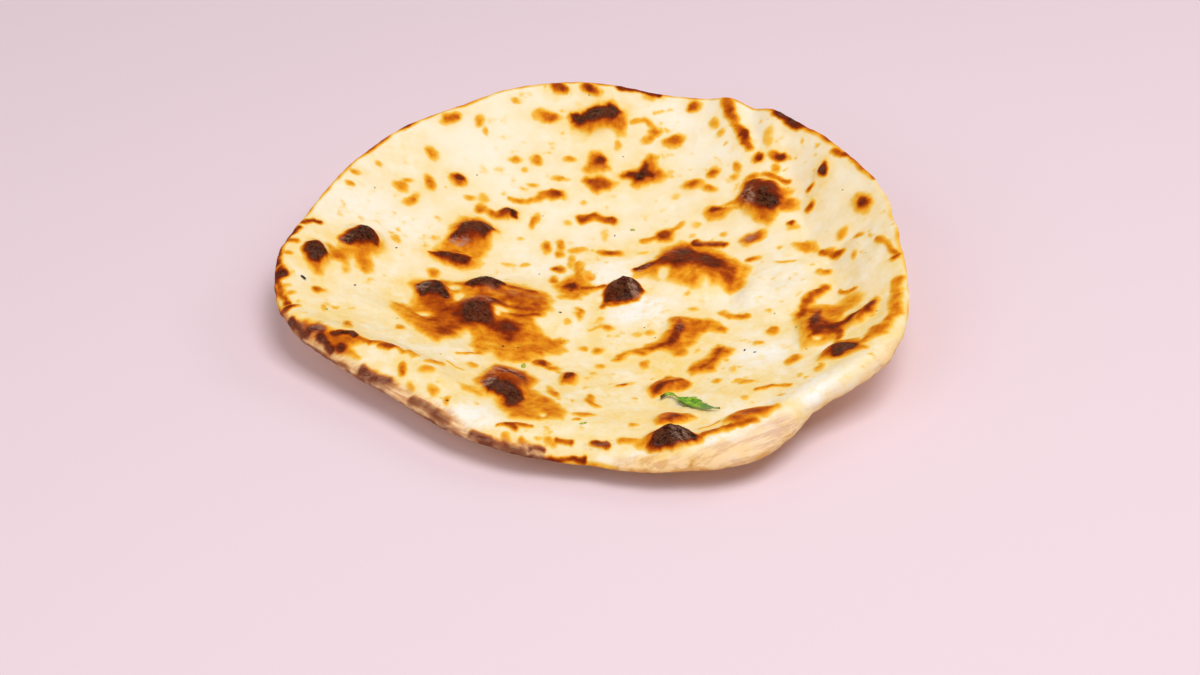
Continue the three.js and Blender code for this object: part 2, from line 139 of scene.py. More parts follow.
# How hot each mark was is given in percent: 30 golden, 60 orange-brown, 80 brown, 100 black.
# Centre, half length, half width, turn and heat of each spot.
SPOTS = [
    # upper left
    (-60.7, 100, 4, 2, 30, 62), (-47.9, 101, 2, 2.7, 0, 42), (-45.4, 96, 1, 1.6, 20, 38),
    (-68, 81, 2.4, 3.6, 30, 42), (-56.8, 69.6, 3.6, 2.6, 0, 62), (-56.5, 70.6, 1.9, 1.1, 0, 80),
    (-68.6, 65.7, 2.2, 4.3, 10, 45), (-80.7, 60.7, 3.4, 2.7, -25, 46), (-78, 64.5, 2.2, 1.1, 10, 38),
    (-75.7, 54.6, 4, 1.9, 55, 44), (-90, 69, 1.8, 1.1, -40, 33), (-99.6, 61.4, 2, 1.1, 5, 42),
    (-101.4, 54, 1.5, 1.4, 0, 42), (-51.4, 61.8, 1.8, 0.9, 0, 38), (-45.7, 62.5, 2, 2.3, 0, 42),
    (-46.6, 57, 2.9, 2.5, -30, 50), (-46, 78, 1.2, 2.2, 0, 20), (-39.5, 79, 1.6, 1, 10, 22),
    (-81.5, 29, 1.5, 2.2, 20, 38),
    # upper middle
    (-14, 118, 3.4, 2.4, 0, 76), (0, 117.5, 3.8, 2, -20, 76), (26, 113.4, 3, 1.3, 0, 42),
    (-32, 111, 1.6, 1.2, 0, 42), (-19, 105, 5.5, 2.4, -5, 60), (11.6, 93, 1.5, 2, 0, 38),
    (28, 98, 3, 2.3, 0, 50), (25, 95, 2.6, 1.8, 0, 42), (36.3, 92.5, 4, 2.7, 5, 56),
    (45, 107, 2.5, 2, 0, 60), (4, 85, 2.8, 2.8, 0, 86), (22, 78, 2.6, 2.8, 0, 98),
    (-33, -52, 4, 1.5, -25, 80), (-16, 68.6, 4.5, 2, 5, 72), (-25, 73, 2.3, 1.3, 0, 38),
    (-13, 76.5, 2.3, 0.9, 0, 40), (-32.6, 85, 2.4, 1.4, 0, 42), (-23.4, 85, 2.4, 2.2, 0, 46),
    (-9, 85.7, 2.1, 1, 0, 42), (-29, 80, 1.5, 0.9, 0, 33), (-3, 65.5, 1.5, 1.2, 0, 33),
    (37, 65.5, 1.8, 1.2, 0, 26), (-24, 53.2, 1.4, 3.6, -15, 50), (-36, 55.5, 4.4, 3, 20, 72),
    (-10, 53.5, 1.5, 1, 0, 30), (6.5, 46, 1.6, 4, 0, 24), (31.5, 44, 3.8, 3.2, 20, 70),
    (45, 49, 2.4, 2.2, 0, 28), (43, 43, 1.4, 1.2, 0, 28), (-18.7, 38, 2, 3.8, 5, 46),
    (-12.6, 39, 1.8, 3.4, 0, 46), (-12.5, 33.5, 2, 2, 0, 42), (-5, 36.5, 3.6, 2, 0, 42),
    (-29.5, 42.5, 1.6, 0.8, 0, 25), (8.5, 34.5, 4.8, 1.6, -3, 64), (22, 34.3, 2.2, 1, 0, 30),
    (-34, 25.6, 2.2, 0.9, -10, 33), (-27, 26, 2.2, 0.9, 30, 36),
    # upper right
    (65.5, 86, 1.4, 3, 15, 84), (54, 96.4, 2.4, 2.3, 0, 42), (57, 91.5, 1.7, 1.3, 30, 38),
    (77, 82, 1.6, 3.2, 0, 32), (72.2, 74.6, 2.2, 1.8, 0, 86), (81, 73.2, 3.3, 1.5, -18, 86),
    (63.6, 72.5, 1.5, 1.9, 0, 42), (53, 73.2, 2.6, 2.4, 0, 64), (44, 69.6, 4.2, 2, -3, 60),
    (51.5, 65.5, 2.8, 1.5, -35, 46), (61.5, 68.6, 1.8, 1.6, 0, 38), (78.3, 68, 1.6, 2.2, 0, 40),
    (69.5, 66, 3, 1.4, 0, 46), (83, 49, 3.5, 1.4, 25, 50), (93.3, 53.2, 1.4, 1, 25, 62),
    (99.4, 57, 1.3, 2.1, 0, 98), (93.3, 45, 1.4, 2, -30, 64),
    (84, 39, 1.1, 1.1, 0, 75), (85, 36.8, 2.4, 1.4, 0, 34), (68.5, 36, 4.6, 2.6, 15, 70),
    (56.5, 41.5, 1.6, 1.2, 0, 33), (68, 25, 2.6, 1.3, -5, 50), (90, 24.5, 5.3, 2.8, -25, 52),
    (104.5, 23.5, 2.4, 1.8, 45, 42), (113.3, 31, 1.7, 3.4, 31, 90), (113.3, 31, 3, 6.2, 31, 52),
    (111.3, 17, 1, 2.2, 30, 42), (109, 7.5, 0.8, 1.5, 0, 38), (96.5, 5.3, 3, 2, -20, 46),
    (94.7, 7.5, 1.4, 1.4, 0, 42), (123.5, -8, 1.8, 1.5, 45, 70), (81, 17.3, 3.2, 0.6, -20, 40),
    # group on the right
    (81, -50.5, 3.4, 2.6, 35, 50), (78.5, -53, 1.5, 2, 0, 38), (74, -26, 2, 3, 0, 50),
    (68, -33.5, 2, 1.6, -30, 36), (42, -5, 2.2, 1.4, 0, 36),
    # middle
    (-13, 23, 2.6, 2.4, 20, 56), (-15, 15, 1.8, 3, 0, 46), (-8, 29, 1.4, 4.5, 0, 40),
    (-4.5, 24, 2.2, 4.5, 0, 46), (-0.5, 18, 2.6, 3.2, 0, 45), (-8.5, 2.5, 4.5, 1.6, 0, 42),
    (-4, -8, 1.7, 3.6, 0, 46), (-9, -14, 1.3, 1.5, 0, 33), (7, -17, 2.5, 1.8, -25, 48),
    (19, -22, 1.6, 1.3, 0, 33), (24, -21, 2, 1.4, 0, 36), (22, -43, 1.5, 3, -8, 46),
    (3.5, -33, 2.3, 1.9, 0, 46), (-3, -31, 1.7, 1.5, -20, 40), (4, -44, 1.7, 2, -20, 42),
    (1.5, -50, 1.4, 1.4, 0, 33),
    # left
    (-109.5, -13.5, 2.7, 2, 10, 50), (-96.5, -36, 1.6, 3.6, 0, 50), (-76, -29, 2.3, 2.2, 10, 42),
    (-106.5, -25, 1.2, 2.6, 0, 35), (-124, -8, 1.9, 3, 0, 94), (-120.5, 11.5, 2.5, 1.4, 10, 62),
    (-122.5, 4, 1.4, 1, 0, 42), (-122, -15.5, 2, 1, 0, 40), (-119.5, -19, 1.4, 1, 0, 40),
    (-119, -29.5, 2.6, 1, 30, 76), (-106.5, 13, 3.5, 1.6, -30, 42),
    # the pair of domes left of the middle
    (-66, 26, 1.8, 0.8, 0, 50), (-42, 55, 3, 1.8, -40, 56),
    # the large patch left of the middle
    (-65, 14, 2.6, 3, 0, 46), (-14, -27, 5, 2.6, 10, 48), (-31, -25, 9, 6, -15, 64),
    # front left
    (-14, -68, 1.4, 5, 20, 48), (-47, -51, 2, 2, 0, 42), (-63.5, -64, 2.3, 1.4, -20, 42),
    (-61, -57, 2.6, 1.4, -15, 48), (-60, -74.5, 2, 3, 0, 42), (-69, -71.5, 1.3, 2.2, 20, 46),
    (-54.5, -80, 0.8, 2, 0, 42),
    # front middle and right
    (-19, -43.5, 3.6, 2.7, 0, 74), (-14.5, -46, 3.2, 2.5, 0, 46), (-8, -56, 2.6, 2, 0, 92),
    (-8.5, -57, 4, 4.6, 0, 54), (13, -58.5, 2.6, 1, 40, 62), (50.5, -59, 1.7, 1.7, 0, 42),
    (62, -64, 2.6, 1.4, 0, 42), (57, -52, 1.4, 2.4, 0, 30), (90, -64, 1.4, 2.8, -10, 42),
    (82, -67, 1.3, 1.8, 0, 30), (61, -76, 1.7, 1.5, 0, 36), (-2, -86, 4, 1.7, 0, 48),
    (-5, -90, 1.2, 0.8, 0, 42), (16, -93, 1.7, 1.5, 0, 40),
]
# Half width, heat and path of each streak.
STREAKS = [
    # upper half
    (0.9, 70, (-117.5, 23.5), (-114.5, 26.5), (-112, 26)),
    (0.9, 84, (12, 118.5), (20, 117), (30, 114)),
    (1, 42, (18.5, 103), (24, 103.5), (28, 99)),
    (1.1, 46, (-20, 67), (-27, 63.5), (-34, 64.5)),
    (1.9, 60, (-4, 56), (2, 57.5), (10, 55)),
    (1.2, 98, (-36, 57.5), (-33, 56), (-32.5, 54)),
    (1.2, 46, (28, 43), (22, 41)),
    (1.2, 40, (34, 46), (39, 49.5)),
    (1.3, 62, (59.5, 104), (60.5, 98), (65.5, 86), (68.5, 79)),
    (1.8, 90, (80.5, 91), (86, 85), (93, 80)),
    (1.2, 56, (74, 66), (84, 61)),
    (0.9, 40, (58, 56), (64, 57)),
    (0.9, 72, (100, 72), (106, 64)),
    (0.8, 62, (102.5, 62.5), (108.5, 57.5)),
    (0.8, 56, (108, 58), (113, 50), (118, 40)),
    (1.5, 60, (96.5, 19), (100, 17.5), (104.5, 13.5)),
    (0.7, 50, (118, 8), (121.5, 1), (123.5, -5)),
    # right
    (1.8, 60, (96, -4.5), (91, -8), (88, -13), (85, -20)),
    (0.7, 50, (103, -8.5), (108, -11.5)),
    (1.3, 62, (100, -38), (99.5, -44)),
    (2, 47, (123, -20), (120, -40), (114, -51)),
    (1.7, 80, (89, -40), (94, -34), (101, -34), (108, -31)),
    # middle
    (1.6, 48, (54.5, -8.5), (58, -12), (64, -13.5)),
    (0.8, 33, (5, -16.5), (0, -19.5)),
    (0.9, 62, (-3, 9), (3, 9), (6, 10.5)),
    (1.6, 84, (31, 26), (26, 22.5), (19, 21.5)),
    (1.4, 72, (44, 38.5), (57, 35.5)),
    (1, 62, (7, -1), (5, -4)),
    (0.8, 56, (6, -2.5), (12, -1.5), (19, 2), (21, 7)),
    # left
    (1.1, 84, (-119, 20), (-124, 13), (-126, 5), (-125.5, -3)),
    (0.8, 70, (-125, -11), (-119, -27)),
    (0.5, 44, (-53, -44), (-48, -42), (-44, -41)),
    # front
    (0.9, 35, (-12, -50), (-15, -46)),
    (1.2, 48, (65, -71.5), (71, -70), (77.5, -73)),
    (1.3, 46, (0, -70), (0, -75), (2.5, -79)),
    (1.1, 44, (22, -105), (12, -103.5)),
    (1, 56, (43, -103), (52, -101), (63, -96.5)),
    (0.6, 46, (42, -97), (50, -95.5)),
    # streaks along the domed patch left of the middle
    (1.4, 68, (-39, 6), (-35, 3), (-32, 0)),
    (1.2, 64, (-33, 8), (-28, 5), (-23, 4)),
    (1.4, 70, (-41, -6), (-23, -9)),
    (1.2, 64, (-32, -13), (-26, -13), (-21, -12)),
    # front left lip
    (1, 97, (-117.5, -35), (-111.5, -41), (-109.5, -42)),
    (1.1, 93, (-105.5, -43.5), (-100.5, -49.5)),
    (0.8, 98, (-100, -44), (-94, -44), (-92, -45)),
    (0.6, 55, (-92, -45), (-86, -48.5)),
    (1.7, 92, (-97, -49.5), (-96, -50.5)),
    (0.4, 50, (-86.5, -48), (-82, -49), (-76.5, -51.5), (-72.5, -55)),
    (0.7, 72, (-82, -50), (-78, -51.5)),
    (1.5, 80, (-87.5, -61.5), (-83, -65), (-77.5, -68)),
    (1.2, 74, (-67.5, -77.5), (-60, -84), (-53, -90.5)),
    (1.0, 80, (-44, -96.5), (-36, -101), (-24.5, -105)),
    # The next two thin dark lines, at the very edge of the lip, are painted shade along the fold there,
    # not scorch.
    (0.4, 80, (-41, -100), (-26, -106), (-11, -108), (-1.5, -108.5)),
    (0.3, 72, (-113, -42), (-83, -68), (-56, -90.5), (-48, -96)),
    (0.6, 84, (-22, -104.5), (-17.5, -105)),
    (0.5, 66, (-12.5, -102), (-9, -102), (-6.5, -103)),
    (0.9, 82, (1, -104), (6.5, -105)),
    (0.6, 60, (-34, -95), (-28.5, -94.5), (-22.5, -95.5)),
    (0.9, 74, (-30, -95), (-28.5, -96.5)),
    (1.4, 44, (-26, -101.5), (-24, -103.5)),
    (1.1, 42, (-31.5, -100), (-30.5, -102.5)),
    (1.2, 38, (-16, -101.5), (-13.5, -103.5)),
    (1.1, 54, (-72, -60), (-72.5, -65.5)),
    (1.1, 42, (-71.5, -53), (-69, -55.5)),
    (1.2, 42, (-64, -59), (-58.5, -56.5)),
    (0.3, 36, (-56.5, -52.5), (-53, -55.5), (-50, -56)),
]
# Heat, width of the soft edge and outline of each large mark, from its golden fringe inwards.
OUTLINES = [
    # the domed patch left of the middle
    (47, 1.4, (-18, -23), (-13, -26), (-9, -33), (-12, -36), (-17, -37), (-25, -43), (-36, -45),
        (-39, -38), (-45, -42), (-48, -36), (-47, -28), (-50, -24), (-55, -28), (-60, -36), (-66, -33),
        (-75, -21), (-82, -15), (-81, -9), (-73, -10), (-72, 1), (-75, 5), (-72, 8), (-61, 11), (-57, 10),
        (-47, 14), (-40, 14), (-18, 5), (-15, -1), (-15, -8), (-18, -12), (-23, -14)),
    (64, 2, (-72, 5), (-60, 8), (-55, -5), (-50, -6), (-46, -2), (-35, -2), (-32, -7), (-40, -13),
        (-37, -16), (-31, -14), (-26, -18), (-27, -26), (-33, -32), (-39, -30), (-41, -24), (-51, -24),
        (-55, -30), (-61, -33), (-66, -24), (-73, -19), (-64, -16), (-71, -6)),
    (58, 2.2, (-50, 5), (-28, 5), (-20, 1), (-18, -5), (-20, -10), (-28, -13), (-33, -12), (-31, -7),
        (-36, -2), (-46, -4)),
    (76, 2.1, (-61, -6), (-44, -6), (-35, -4), (-40, -15), (-34, -15), (-28, -18), (-29, -23),
        (-35, -27), (-42, -22), (-51, -21), (-62, -12)),
    (100, 1.3, (-52, -8), (-41, -10), (-41, -14), (-38, -17), (-41, -21), (-50, -20), (-53, -13)),
    (108, 0.8, (-72, 5), (-66, 3), (-62, 4), (-58, 0), (-58, -4), (-63, -2), (-70, -2)),
    (106, 0.8, (-53, 8), (-49, 12), (-44, 12.5), (-39, 12), (-34, 8), (-38, 4), (-49, 5)),
    (74, 2, (-62, -24), (-57, -22), (-54, -28), (-57, -32), (-61, -30)),
    # the pair of domes behind it
    (46, 1.3, (-57, 48), (-53, 52), (-48, 52), (-43, 50), (-38, 45), (-42, 40), (-42, 34), (-48, 21),
        (-54, 19), (-68, 24)),
    (68, 1.5, (-53, 49), (-48, 50), (-40, 44), (-47, 36), (-60, 33), (-60, 38)),
    (99, 1, (-60, 37), (-54, 47), (-50, 50), (-46, 49), (-40, 44), (-46, 39), (-51, 39), (-57, 36)),
    (99, 1, (-67, 26), (-63, 29), (-59, 27), (-49, 28), (-51, 22), (-56, 22), (-64, 24)),
    # the two domes on the left
    (88, 0.8, (-105, 19.5), (-95, 30), (-92, 26), (-88, 23), (-88, 20), (-96, 18), (-104, 17.5)),
    (110, 0.8, (-103, 19.5), (-95, 29), (-92, 25), (-91, 20.5), (-101, 18)),
    (46, 1.5, (-104, 16), (-86, 24), (-86, 20), (-90, 16), (-90, 8), (-92, 5), (-96, 7), (-98, 12),
        (-100, 8), (-99, 3), (-101, 1), (-102, 7), (-108, 6), (-107, 12)),
    (108, 0.8, (-117.5, 6), (-116, 10.5), (-114, 11), (-108, 8), (-111, 0), (-114, 2)),
    (54, 1.3, (-116, 3), (-112, -5), (-110, -4), (-107, 6)),
    # the front dome
    (48, 1.4, (-45, -69), (-45, -62), (-41, -52), (-37, -47), (-25, -50), (-20, -57), (-23, -64),
        (-12, -78), (-9, -85), (-10, -90), (-22, -92), (-30, -91), (-36, -82), (-36, -77)),
    (44, 1.2, (-52, -67), (-45, -69), (-40, -75), (-44, -75), (-50, -71)),
    (69, 1.6, (-44, -65), (-42, -57), (-38, -50), (-34, -48), (-25, -52), (-23, -59), (-26, -68),
        (-24, -78), (-27, -84), (-32, -86), (-36, -76), (-40, -73)),
    (103, 1, (-44, -67), (-37, -67), (-27, -71), (-25, -75), (-28, -82), (-32, -81), (-35, -76),
        (-40, -73)),
    (86, 0.9, (-36, -52), (-31, -51), (-26, -55), (-25, -60), (-35, -55)),
    # the swelling right of the middle
    (47, 1.4, (18, 18), (19, 22), (27, 27), (30, 36), (38, 40), (51, 36), (67, 20), (64, 7), (58, 4),
        (54, 8), (50, 8), (48, 12), (45, 7), (42, 7)),
    (68, 1.5, (22, 22), (27, 25), (31, 34), (35, 37), (42, 37), (54, 30), (62, 21), (62, 12), (59, 7),
        (55, 10), (52, 15), (42, 18), (36, 14), (32, 19)),
    (88, 1.7, (32, 31), (36, 36), (41, 37), (57, 24), (58, 20), (52, 17), (47, 18), (43, 21), (39, 18),
        (34, 20)),
    # left of the middle peak
    (47, 1.3, (-16, 11), (-5, 22), (-2, 15), (4, 9), (-4, 3), (-9, 1)),
    (92, 1.2, (-12, 10), (-9, 13), (-6, 14), (-4, 11), (-5, 8), (-8, 6)),
    # the middle peak
    (106, 0.9, (5, -1), (6, 6), (8, 12), (12, 14), (18, 12), (22, 8), (19, 3), (11, -1)),
    # the group on the right
    (46, 1.6, (82, -17), (86, -13), (94, -5), (90, -14), (98, -16), (106, -12), (111, -18), (108, -25),
        (104, -27), (106, -32), (110, -26), (115, -22), (116, -28), (114, -33), (108, -37), (102, -38),
        (100, -44), (93, -45), (85, -45), (84, -29)),
    (72, 1.2, (88, -17), (94, -18), (94, -24), (98, -30), (104, -32), (99, -40), (92, -40), (88, -38),
        (88, -30), (90, -24)),
    (92, 1.6, (87, -35), (91, -19), (94, -25), (94, -31), (92, -36)),
    (94, 1.3, (108, -36), (112, -25), (115, -24), (115, -28), (113, -34)),
    (56, 1.2, (90, -58), (98, -46), (106, -49), (108, -60), (97, -62)),
    (100, 0.9, (93, -57), (99, -51), (106, -53), (104, -58), (97, -60)),
    (54, 1.2, (104, -54), (113, -44), (117, -46), (115, -52), (108, -56)),
    # the dome on the right, and the mark beside it
    (50, 1.3, (67, 66), (87, 56), (83, 53), (89, 49), (88, 46), (79, 46), (78, 42), (75, 40), (66, 50),
        (62, 57)),
    (88, 1.2, (66, 63), (69, 64), (79, 60), (81, 52), (78, 46), (71, 48), (65, 54)),
    (112, 0.8, (72, 54.5), (73, 56.5), (75, 57.5), (80, 51), (79, 48.5), (76, 47.5), (72, 49)),
    (50, 1.2, (48, 54), (50, 57), (64, 54), (59, 52), (57, 50), (51, 50)),
    (80, 0.8, (50, 54.5), (52.5, 56.5), (56, 56), (60, 54), (51, 53)),
    # the back blister, and the marks in front of it
    (52, 1.3, (-10, 105), (-6, 108), (4, 112), (10, 112), (15, 108), (16, 105), (15, 97), (12, 97),
        (9, 100), (0, 98), (-8, 101)),
    (104, 1.1, (-8, 105.5), (-1, 109.5), (9, 111), (14, 107), (12, 104), (4, 101.5), (-5, 101),
        (-8, 103)),
    (50, 1.2, (0, 90), (4, 90), (10, 81), (0, 79), (-3, 81)),
    (52, 1.1, (12, 78), (14, 81), (18, 81), (26, 88), (29, 86), (29, 82), (35, 76), (20, 72), (17, 74),
        (18, 76)),
    (90, 1.1, (13, 79), (20, 81), (24, 85), (26, 83), (26, 80), (30, 78), (27, 76), (20, 75)),
    (60, 1.2, (-4, 75), (-2, 78), (6, 78), (11, 75), (8, 72), (3, 70)),
    # front right: the peak on the rim, and the marks behind it
    (58, 1, (17, -106), (23, -102), (44, -102), (44, -106), (34, -110), (22, -108)),
    (110, 0.8, (21.5, -107.5), (25, -103.5), (36, -101), (43.5, -104), (39, -107), (32, -110),
        (24, -109)),
    (56, 1, (25, -90), (28, -85), (33, -82), (38, -84), (41, -88), (36, -91), (26, -94)),
    (86, 0.8, (27, -91), (33, -88), (38, -88), (30, -92)),
    (76, 1.6, (52, -97.5), (56, -94), (64, -90.5), (72, -90), (66, -94), (57, -98)),
    (56, 1.1, (22, -65), (25, -58), (31, -52), (36, -52), (41, -57), (38, -62), (30, -65), (24, -69)),
    (82, 0.9, (24, -66), (26, -62), (34, -55), (38, -55), (27, -66)),
    # streaks in front of the middle
    (52, 1.2, (32, -13), (35, -10), (49, -13), (56, -20), (55, -23), (48, -20), (44, -22), (43, -28),
        (39, -33), (38, -38), (34, -38), (31, -34), (26, -32), (22, -37), (17, -35), (12, -40), (9, -39),
        (11, -35), (28, -26), (32, -20)),
    (80, 1.1, (36, -12), (38, -15), (39, -20), (37, -27), (33, -31), (24, -34), (22, -31), (31, -27)),
    (54, 1.2, (39, -49), (41, -44), (47, -40), (49, -34), (52, -31), (58, -36), (52, -44), (50, -51),
        (41, -52)),
    (74, 1.1, (41, -48), (47, -44), (50, -39), (51, -34), (54, -34), (50, -44), (44, -50)),
    # the front left lip
    (60, 1.2, (-115, -36), (-110, -37), (-102, -42), (-92, -45), (-88, -48), (-93, -50), (-90, -56),
        (-96, -53), (-113, -40)),
    (97, 0.9, (-112, -39), (-107, -38.5), (-102.5, -42.5), (-104.5, -43.5), (-108.5, -42)),
    (70, 1.6, (-88, -61.5), (-82, -64), (-74, -70), (-77, -70), (-85, -65)),
]
# Pale dough that shows through the scorch marks: centre, half length, half width and turn. The two near
# (-37, -12) are a painted highlight on the char.
PALE = [
    (-56, 5.5, 2.4, 1.6, 0), (-54, -1.5, 1.7, 2.4, 0), (-68, -14.5, 2.4, 1.3, 0),
    (-36.5, -10.5, 3.4, 1.3, 0), (-38, -13, 1.2, 1.2, 0), (30.5, 16, 2.2, 3.2, 0),
    (90.5, -41, 1.6, 1.2, -20), (-18, -87.5, 1.2, 1.2, 0), (105, -26.5, 4, 0.8, 40),
]
# Ash-grey skin on burst and scorched domes, partly painted highlight where the domes face the light:
# centre, half length, half width, turn and percent.
ASH_AND_SHEEN = [
    (-46, -6, 7, 4, -10, 70), (-33, 3, 14, 2.5, -12, 40), (-43, 10, 6, 3, 0, 50),
    (-69, 2, 3, 2.4, 0, 80), (-60, -2.5, 2, 1.5, 0, 60), (-55, 36.5, 4.5, 2.4, 0, 90),
    (-34, -56, 8, 7, 0, 80), (-41, -68, 4, 2.5, 0, 80), (18, 6, 2.6, 3.6, 20, 100),
    (68, 56, 3, 6, 20, 90), (36, 33, 5, 4, 0, 45), (22, 21, 3.5, 1.6, 30, 60),
    (50, 38, 6, 1.2, -12, 50), (-82, -66, 8, 2.4, -35, 60), (-106, -40.5, 4, 2.2, -20, 60),
    (67, 36.5, 4, 2.4, 15, 60), (36.5, -19, 1.2, 5, -8, 50), (92, -25, 2, 7, 0, 35),
    (60, -94, 8, 2, 22, 30), (30, -89, 5, 1.5, 10, 35), (-101, 20, 3, 2.4, 0, 60),
    (-42, -98, 12, 1.6, -25, 50), (4, -104.5, 6, 1.5, 0, 40), (35, -106, 5, 3, 0, 70),
]
# Melted butter, yellow and shining.
BUTTER = [
    (-79, 0, 4, 10, -15, 75), (20, 38, 19, 6, 10, 65), (0, 31, 7, 4, 0, 65),
    (29, -46, 9, 9, 0, 85), (54, -68, 10, 7, 0, 70), (15, -85, 10, 6, 0, 55),
    (3, -14, 3, 13, -8, 60), (-40, -38, 9, 4, 0, 45), (-95, -30, 16, 10, 20, 30),
    (30, 60, 22, 10, 0, 30), (-10, 90, 30, 12, 0, 30), (-75, 75, 25, 25, 0, 35),
    (96, 48, 5, 14, 0, 55), (-25, -90, 14, 4, -10, 30),
]
# Dry dusted flour, whiter than the dough. The five patches along the front-right crest, from (24, -108) to
# (88, -78), are painted highlight on that crest.
FLOUR_AND_HIGHLIGHT = [
    (6, 17, 15, 9, 20, 75), (18, -8, 13, 7, 0, 85), (62, -2, 14, 7, 0, 45),
    (70, -42, 14, 8, 10, 75), (-92, 42, 18, 13, 0, 50), (-52, 88, 24, 10, -10, 45),
    (-44, -88, 13, 6, -25, 85), (62, -101, 16, 4, 20, 80), (-16, 25, 18, 6, 0, 35),
    (88, -78, 14, 5, 30, 70), (73, 5, 14, 9, 0, 35), (40, 100, 12, 8, -20, 40),
    (56, -101, 18, 2.2, 28, 100), (24, -108, 12, 2, 10, 80), (86, -83, 8, 2.4, 40, 100),
    (24, -1, 10, 7, 10, 100),
]
# Bubbles that have burst: centre, half length, half width, turn, lip height and depth.
BURSTS = [
    (-0.5, 17.5, 3.0, 3.6, 10, 0.9, 1.4), (-4.3, 24, 1.6, 3.8, 0, 0.7, 0.3),
    (-35, -68.5, 3.0, 1.2, -5, 0.4, 1.6), (33, -104.5, 1.6, 0.9, 0, 0.3, 0.6),
]
# Thin skin, tanned by the oven wall, where the rim turns down, darkened with painted shade where it faces
# down and away from the light; the second outline, on the front-right outer slope, is mostly painted
# shade: percent, softness and outline.
TAN_AND_SHADE_OUTLINES = [
    (100, 2.2, (-120, -31), (-116, -36), (-96, -54), (-78, -66), (-68, -74), (-57, -82), (-46, -94),
        (-33, -101), (-16, -105), (-16, -112), (-45, -108), (-80, -80), (-105, -55), (-126, -36)),
    (70, 2, (10, -110), (38, -112), (57, -104), (68, -96), (78, -92), (90, -82), (102, -75), (111, -66),
        (118, -54), (130, -55), (125, -75), (90, -110), (50, -125), (10, -120)),
]
# How browned the very edge is, in percent, at stations round the bread as above.
RIM_HEAT = [34, 26, 50, 80, 50, 55, 65, 45, 62, 80, 60, 55,
            92, 70, 42, 40, 46, 56, 50, 36, 26, 22, 22, 28]


# ---- Curves, noise and distances ----------------------------------------------------------------

def curve(before, start, end, after, share):
    """Where a smooth curve through four stations is between the middle two, and its direction."""
    slope = 0.5 * (end - before)
    bend = before - 2.5 * start + 2 * end - 0.5 * after
    twist = 0.5 * (after - before) + 1.5 * (start - end)
    place = start + share * (slope + share * (bend + share * twist))
    return place, slope + share * (2 * bend + share * 3 * twist)


def around(stations, angle):
    """The value of evenly spaced stations at a direction, on a smooth closed curve."""
    values = np.array(stations, float)
    place = np.mod(angle / (2 * np.pi), 1) * len(values)
    first = np.floor(place).astype(int)
    neighbours = [values[(first + step) % len(values)] for step in (-1, 0, 1, 2)]
    return curve(*neighbours, place - first)[0]


def smoothstep(x, low, high):
    share = np.clip((x - low) / (high - low), 0, 1)
    return share * share * (3 - 2 * share)


def noise(x, y, width, seed):
    """Smooth hills and dips between about -1 and 1, each about as wide as given."""
    size = 64
    directions = np.random.default_rng(seed).random((size, size)) * 2 * np.pi
    column, row = np.floor(x / width), np.floor(y / width)
    u, v = x / width - column, y / width - row
    column, row = column.astype(int), row.astype(int)

    def slope(i, j):
        angle = directions[(column + i) % size, (row + j) % size]
        return np.cos(angle) * (u - i) + np.sin(angle) * (v - j)

    across, along = smoothstep(u, 0, 1), smoothstep(v, 0, 1)
    near = slope(0, 0) * (1 - across) + slope(1, 0) * across
    far = slope(0, 1) * (1 - across) + slope(1, 1) * across
    return 1.6 * (near * (1 - along) + far * along)


def layered_noise(x, y, seed, layers):
    """Layers of noise added up, each with its width and height."""
    return sum(high * noise(x, y, width, seed + i) for i, (width, high) in enumerate(layers))


def distance_to_path(x, y, path):
    nearest = np.full_like(x, np.inf)
    for (start_x, start_y), (end_x, end_y) in zip(path, path[1:]):
        run_x, run_y = end_x - start_x, end_y - start_y
        share = ((x - start_x) * run_x + (y - start_y) * run_y) / (run_x ** 2 + run_y ** 2)
        share = np.clip(share, 0, 1)
        nearest = np.minimum(nearest, np.hypot(x - start_x - share * run_x, y - start_y - share * run_y))
    return nearest


def distance_to_outline(x, y, outline):
    """How far points lie outside a closed outline, below zero inside it."""
    closed = outline + outline[:1]
    inside = np.zeros_like(x, bool)
    for (start_x, start_y), (end_x, end_y) in zip(closed, closed[1:]):
        if start_y != end_y:
            crossing = start_x + (y - start_y) * (end_x - start_x) / (end_y - start_y)
            inside ^= ((start_y > y) != (end_y > y)) & (x < crossing)
    distance = distance_to_path(x, y, closed)
    return np.where(inside, -distance, distance)


def fall_off(distance, reach):
    """1 on a path or inside an outline, falling to 0 well outside it."""
    return np.exp(-(np.maximum(0, distance) / reach) ** 2)


def turned(x, y, degrees):
    """Points turned counterclockwise round the origin."""
    cos, sin = math.cos(math.radians(degrees)), math.sin(math.radians(degrees))
    return x * cos - y * sin, x * sin + y * cos


def ellipse(x, y, centre_x, centre_y, long, wide, turn):
    """0 in the middle of an ellipse and 1 on its outline."""
    along, across = turned(x - centre_x, y - centre_y, -turn)
    return np.hypot(along / long, across / wide)


def distance_to_ellipse(x, y, centre_x, centre_y, long, wide, turn):
    """About how far points lie outside an ellipse, below zero inside it."""
    return (ellipse(x, y, centre_x, centre_y, long, wide, turn) - 1) * min(long, wide)


# ---- The form of the bread ----------------------------------------------------------------------

def rim_radius(angle):
    """The bread's radius, with the small tears and nicks of its edge."""
    reach = MEAN_RADIUS * angle
    nicks = noise(reach, 0 * reach + 7.3, 9, 11) + 0.6 * noise(reach, 0 * reach + 3.1, 3.5, 12)
    return around(RADIUS, angle) - RAGGED_RIM * np.clip(0.35 + 0.5 * nicks, 0, 1)


def radius_share(x, y):
    return np.hypot(x, y) / rim_radius(np.mod(np.arctan2(y, x), 2 * np.pi))


